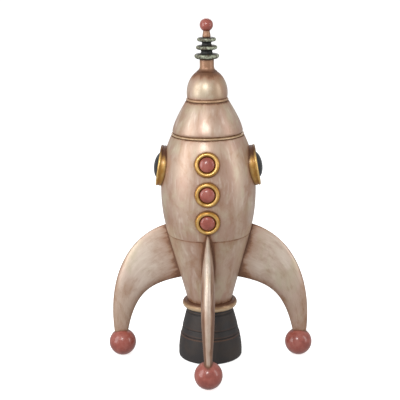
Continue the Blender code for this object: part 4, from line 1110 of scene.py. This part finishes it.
class ROCKET_OT_antenna(RocketOperator, Operator):
    """Antenna: the flared neck, three discs with spacers between them, the collar and the tip ball"""

    bl_idname = "rocket.antenna"
    bl_label = "Antenna"

    def execute(self, context):
        around = context.scene.rocket.sizes.fitting_around
        flare = bezier((37.0, NECK_FOOT), (-6.6, 4.6), (0, -11.0), (25.5, 1088.0), 24)
        top = node_levels("neck")[1]
        dome_top = DOME_MIDDLE + DOME_H * math.sqrt(1 - (21.6 / DOME_R) ** 2)
        shank = [(ROD_BORE, dome_top - 14), (21, dome_top - 14), (21, dome_top + 1.2), (37.0, NECK_FOOT)]
        head = [(25.5, top - 4), (25.5, top), (ROD_BORE, top)]
        turned_piece(
            "neck", np.vstack((rounded(shank, 0.4)[:-1], flare, rounded(head, 1.0))), around,
            "copper_wash", "nose", step=2.0,
            glaze=lambda r, z: 0.12 + 0.75 * near(z - 1070, 9) + 0.7 * near(top - z, 4),
            wear=lambda r, z: 0.35 * near(np.abs(z - 1096), 9),
        )
        self.disc("disc_lower", 43.8, 27.0, 2.0, around)
        self.disc("disc_middle", 38.0, 24.0, 0.0, around)
        self.disc("disc_upper", 33.7, 21.0, 0.0, around)
        for name, radius in (("spacer_lower", 22.0), ("spacer_upper", 18.6)):
            low, high = node_levels(name)
            waist = bezier((radius, low), (-2.6, 3.5), (-2.6, -3.5), (radius, high), 20)
            outline = np.vstack(([(ROD_BORE, low)], waist, [(ROD_BORE, high)]))
            turned_piece(name, outline, around, "dark_spacer", "nose", step=2.0)
        low, high = node_levels("tip_collar")
        foot = [(ROD_BORE, low), (14.2, low), (14.6, low + 3)]
        side = bezier(foot[-1], (0.2, 6.0), (0.4, -9.0), (11.8, high), 20)
        turned_piece(
            "tip_collar", np.vstack((rounded(foot, 1.0)[:-1], side, [(ROD_BORE, high)])), around,
            "copper_wash", "nose", step=2.0,
            glaze=lambda r, z: 0.22 + 0.6 * near(z - low, 3) + 0.5 * near(high - z, 2.5),
        )
        self.tip_ball(around)
        return {"FINISHED"}

    @staticmethod
    def tip_ball(around):
        """A ball cut flat where it meets the collar, with a bore for the rod up to its middle."""
        low, high = node_levels("tip_ball")
        middle = high - TIP_BALL_R
        start = -math.degrees(math.asin((middle - low) / TIP_BALL_R))
        ball = arc((0, middle), (TIP_BALL_R, TIP_BALL_R), start, 90, 48)
        ball[-1, 0] = 0
        outline = np.vstack(([(0, middle + 0.3), (ROD_BORE, middle + 0.3), (ROD_BORE, low)], ball))
        turned_piece(
            "tip_ball", outline, around, "dusty_rose", "nose", step=3.0,
            glaze=lambda r, z: 0.7 * near(z - low, 3),
        )

    @staticmethod
    def disc(name, rim_r, foot_r, cone, around):
        """A disc that is flat near the rod. Cubic curves under and over it meet in a rounded rim."""
        low, high = node_levels(name)
        middle = (low + high) / 2 + cone
        flat = (rim_r - foot_r) * 0.55
        under = bezier((foot_r, low), (flat, 0.6), (0, (low - middle) * 0.75), (rim_r, middle), 24)
        over = bezier((rim_r, middle), (0, (high - middle) * 0.75), (flat, -0.6), (foot_r, high), 24)
        turned_piece(
            name, np.vstack(([(ROD_BORE, low)], under, over[1:], [(ROD_BORE, high)])), around,
            "verdigris", "nose", step=2.0,
            # Pale mint over the rim: rubbed patina and a painted highlight, with a further band on the upper
            # side.
            wear=lambda r, z: near(rim_r - 0.6 - r, 1.5) + 0.35 * near(rim_r - 2 - r, 2.5) * (z > middle),
        )


class ROCKET_OT_inside(RocketOperator, Operator):
    """Inner pieces: finishes for the mast, bulkheads, studs, bolts, switches and housings of the frame"""

    bl_idname = "rocket.inside"
    bl_label = "Inner pieces"

    def execute(self, context):
        shown = {
            "zinc_steel": ("base_plate", "centre_mast", "mast_nut", "foot_stud_", "fin_bolt_", "antenna_rod"),
            "plywood": ("lower_bulkhead", "upper_bulkhead"),
            "bare_glass_fibre": ("seam_bulkhead", "nose_spigot"),
            "black_plastic": ("button_housing_", "button_switch_"),
        }
        for slot, starts in shown.items():
            for name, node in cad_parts.items():
                if name.startswith(starts):
                    node.data.materials.clear()
                    node.data.materials.append(finish_for(slot))
        return {"FINISHED"}


class ROCKET_OT_stage(RocketOperator, Operator):
    """Stage: pale floor, white surroundings, soft lights and the camera"""

    bl_idname = "rocket.stage"
    bl_label = "Stage"

    def execute(self, context):
        lights = context.scene.rocket.lights
        self.make_floor(context)
        self.make_surroundings(context)
        self.make_light(context, "left_light", -61, 17, 3.2, (1.7, 2.9), lights.key)
        self.make_light(context, "right_light", 72, 16, 3.2, (0.9, 2.6), lights.side)
        self.make_light(context, "front_light", -10, 34, 3.6, (0.75, 0.75), lights.front)
        self.make_light(context, "back_light", 180, 35, 3.4, (2.0, 2.0), lights.back)
        self.make_camera(context)
        context.scene.view_settings.view_transform = "Standard"
        return {"FINISHED"}

    def make_floor(self, context):
        """A wide square sheet at z = 0."""
        reach = 12.0
        mesh = bpy.data.meshes.new("floor")
        corners = [(-reach, -reach, 0), (reach, -reach, 0), (reach, reach, 0), (-reach, reach, 0)]
        mesh.from_pydata(corners, [], [(0, 1, 2, 3)])
        f = Finish("pale_floor")
        cloud = f.noise(f.place(), 3.0)
        f.give(Base_Color=f.mix((0.90, 0.90, 0.90), (0.94, 0.94, 0.94), cloud))
        f.give(Roughness=0.7, Emission_Color=(1, 1, 1), Emission_Strength=0.70)
        mesh.materials.append(f.material)
        floor = bpy.data.objects.new("floor", mesh)
        context.scene.collection.objects.link(floor)
        floor.visible_diffuse = floor.visible_glossy = False

    def make_surroundings(self, context):
        """White to the eye and softer as a light, so that the four lights shape the object."""
        world = bpy.data.worlds.new("white_room")
        world.use_nodes = True
        context.scene.world = world
        tree = world.node_tree
        background, bright = tree.nodes["Background"], tree.nodes.new("ShaderNodeBackground")
        for node, strength in ((background, 0.48), (bright, 1.1)):
            node.inputs["Color"].default_value = (1, 1, 1, 1)
            node.inputs["Strength"].default_value = strength
        path = tree.nodes.new("ShaderNodeLightPath")
        choice = tree.nodes.new("ShaderNodeMixShader")
        tree.links.new(path.outputs["Is Camera Ray"], choice.inputs[0])
        tree.links.new(background.outputs[0], choice.inputs[1])
        tree.links.new(bright.outputs[0], choice.inputs[2])
        tree.links.new(choice.outputs[0], tree.nodes["World Output"].inputs["Surface"])

    def make_light(self, context, name, azimuth, elevation, distance, size, power):
        """A rectangular light aimed at the rocket's middle, with azimuth 0 in front and plus to the right."""
        light = bpy.data.lights.new(name, "AREA")
        light.shape = "RECTANGLE"
        light.size, light.size_y = size
        light.energy = power
        made = bpy.data.objects.new(name, light)
        context.scene.collection.objects.link(made)
        a, e = math.radians(azimuth), math.radians(elevation)
        away = distance * math.cos(e)
        made.location = (away * math.sin(a), -away * math.cos(a), 0.6 + distance * math.sin(e))
        made.rotation_euler = (math.pi / 2 - e, 0, a)

    def make_camera(self, context):
        """A long lens in front of the rocket and a little to its right, higher than its tip."""
        data = bpy.data.cameras.new("camera")
        data.lens = 103.41
        data.clip_start, data.clip_end = 0.1, 60
        camera = bpy.data.objects.new("camera", data)
        context.scene.collection.objects.link(camera)
        azimuth, distance, level = math.radians(1.40), 4.066, 1.617
        camera.location = (distance * math.sin(azimuth), -distance * math.cos(azimuth), level)
        heading = azimuth + math.radians(0.44)
        turned = Euler((math.radians(90 - 14.07), 0, heading)).to_matrix()
        camera.rotation_euler = (turned @ Matrix.Rotation(math.radians(-0.83), 3, "Z")).to_euler()
        context.scene.camera = camera


class ROCKET_PT_panel(Panel):
    """Lists the steps that build the rocket, and its settings"""

    bl_label = "Display rocket"
    bl_idname = "ROCKET_PT_panel"
    bl_space_type = "VIEW_3D"
    bl_region_type = "UI"
    bl_category = "Rocket"

    def draw(self, context):
        for operator in OPERATORS:
            self.layout.operator(operator.bl_idname)
        settings = context.scene.rocket
        for group in (settings.sizes, settings.lights, settings.colours):
            box = self.layout.box()
            for name in group.bl_rna.properties.keys():
                if name not in ("rna_type", "name"):
                    box.prop(group, name)


OPERATORS = (
    ROCKET_OT_nozzle,
    ROCKET_OT_tail,
    ROCKET_OT_hull,
    ROCKET_OT_fins,
    ROCKET_OT_feet,
    ROCKET_OT_portholes,
    ROCKET_OT_buttons,
    ROCKET_OT_nose,
    ROCKET_OT_antenna,
    ROCKET_OT_inside,
    ROCKET_OT_stage,
)
CLASSES = (RocketColours, RocketSizes, RocketLights, RocketSettings, *OPERATORS, ROCKET_PT_panel)


def register():
    for cls in CLASSES:
        bpy.utils.register_class(cls)
    bpy.types.Scene.rocket = PointerProperty(type=RocketSettings)


def unregister():
    del bpy.types.Scene.rocket
    for cls in reversed(CLASSES):
        bpy.utils.unregister_class(cls)


def main():
    register()
    for operator in OPERATORS:
        category, name = operator.bl_idname.split(".")
        getattr(getattr(bpy.ops, category), name)()


if __name__ == "__main__":
    main()
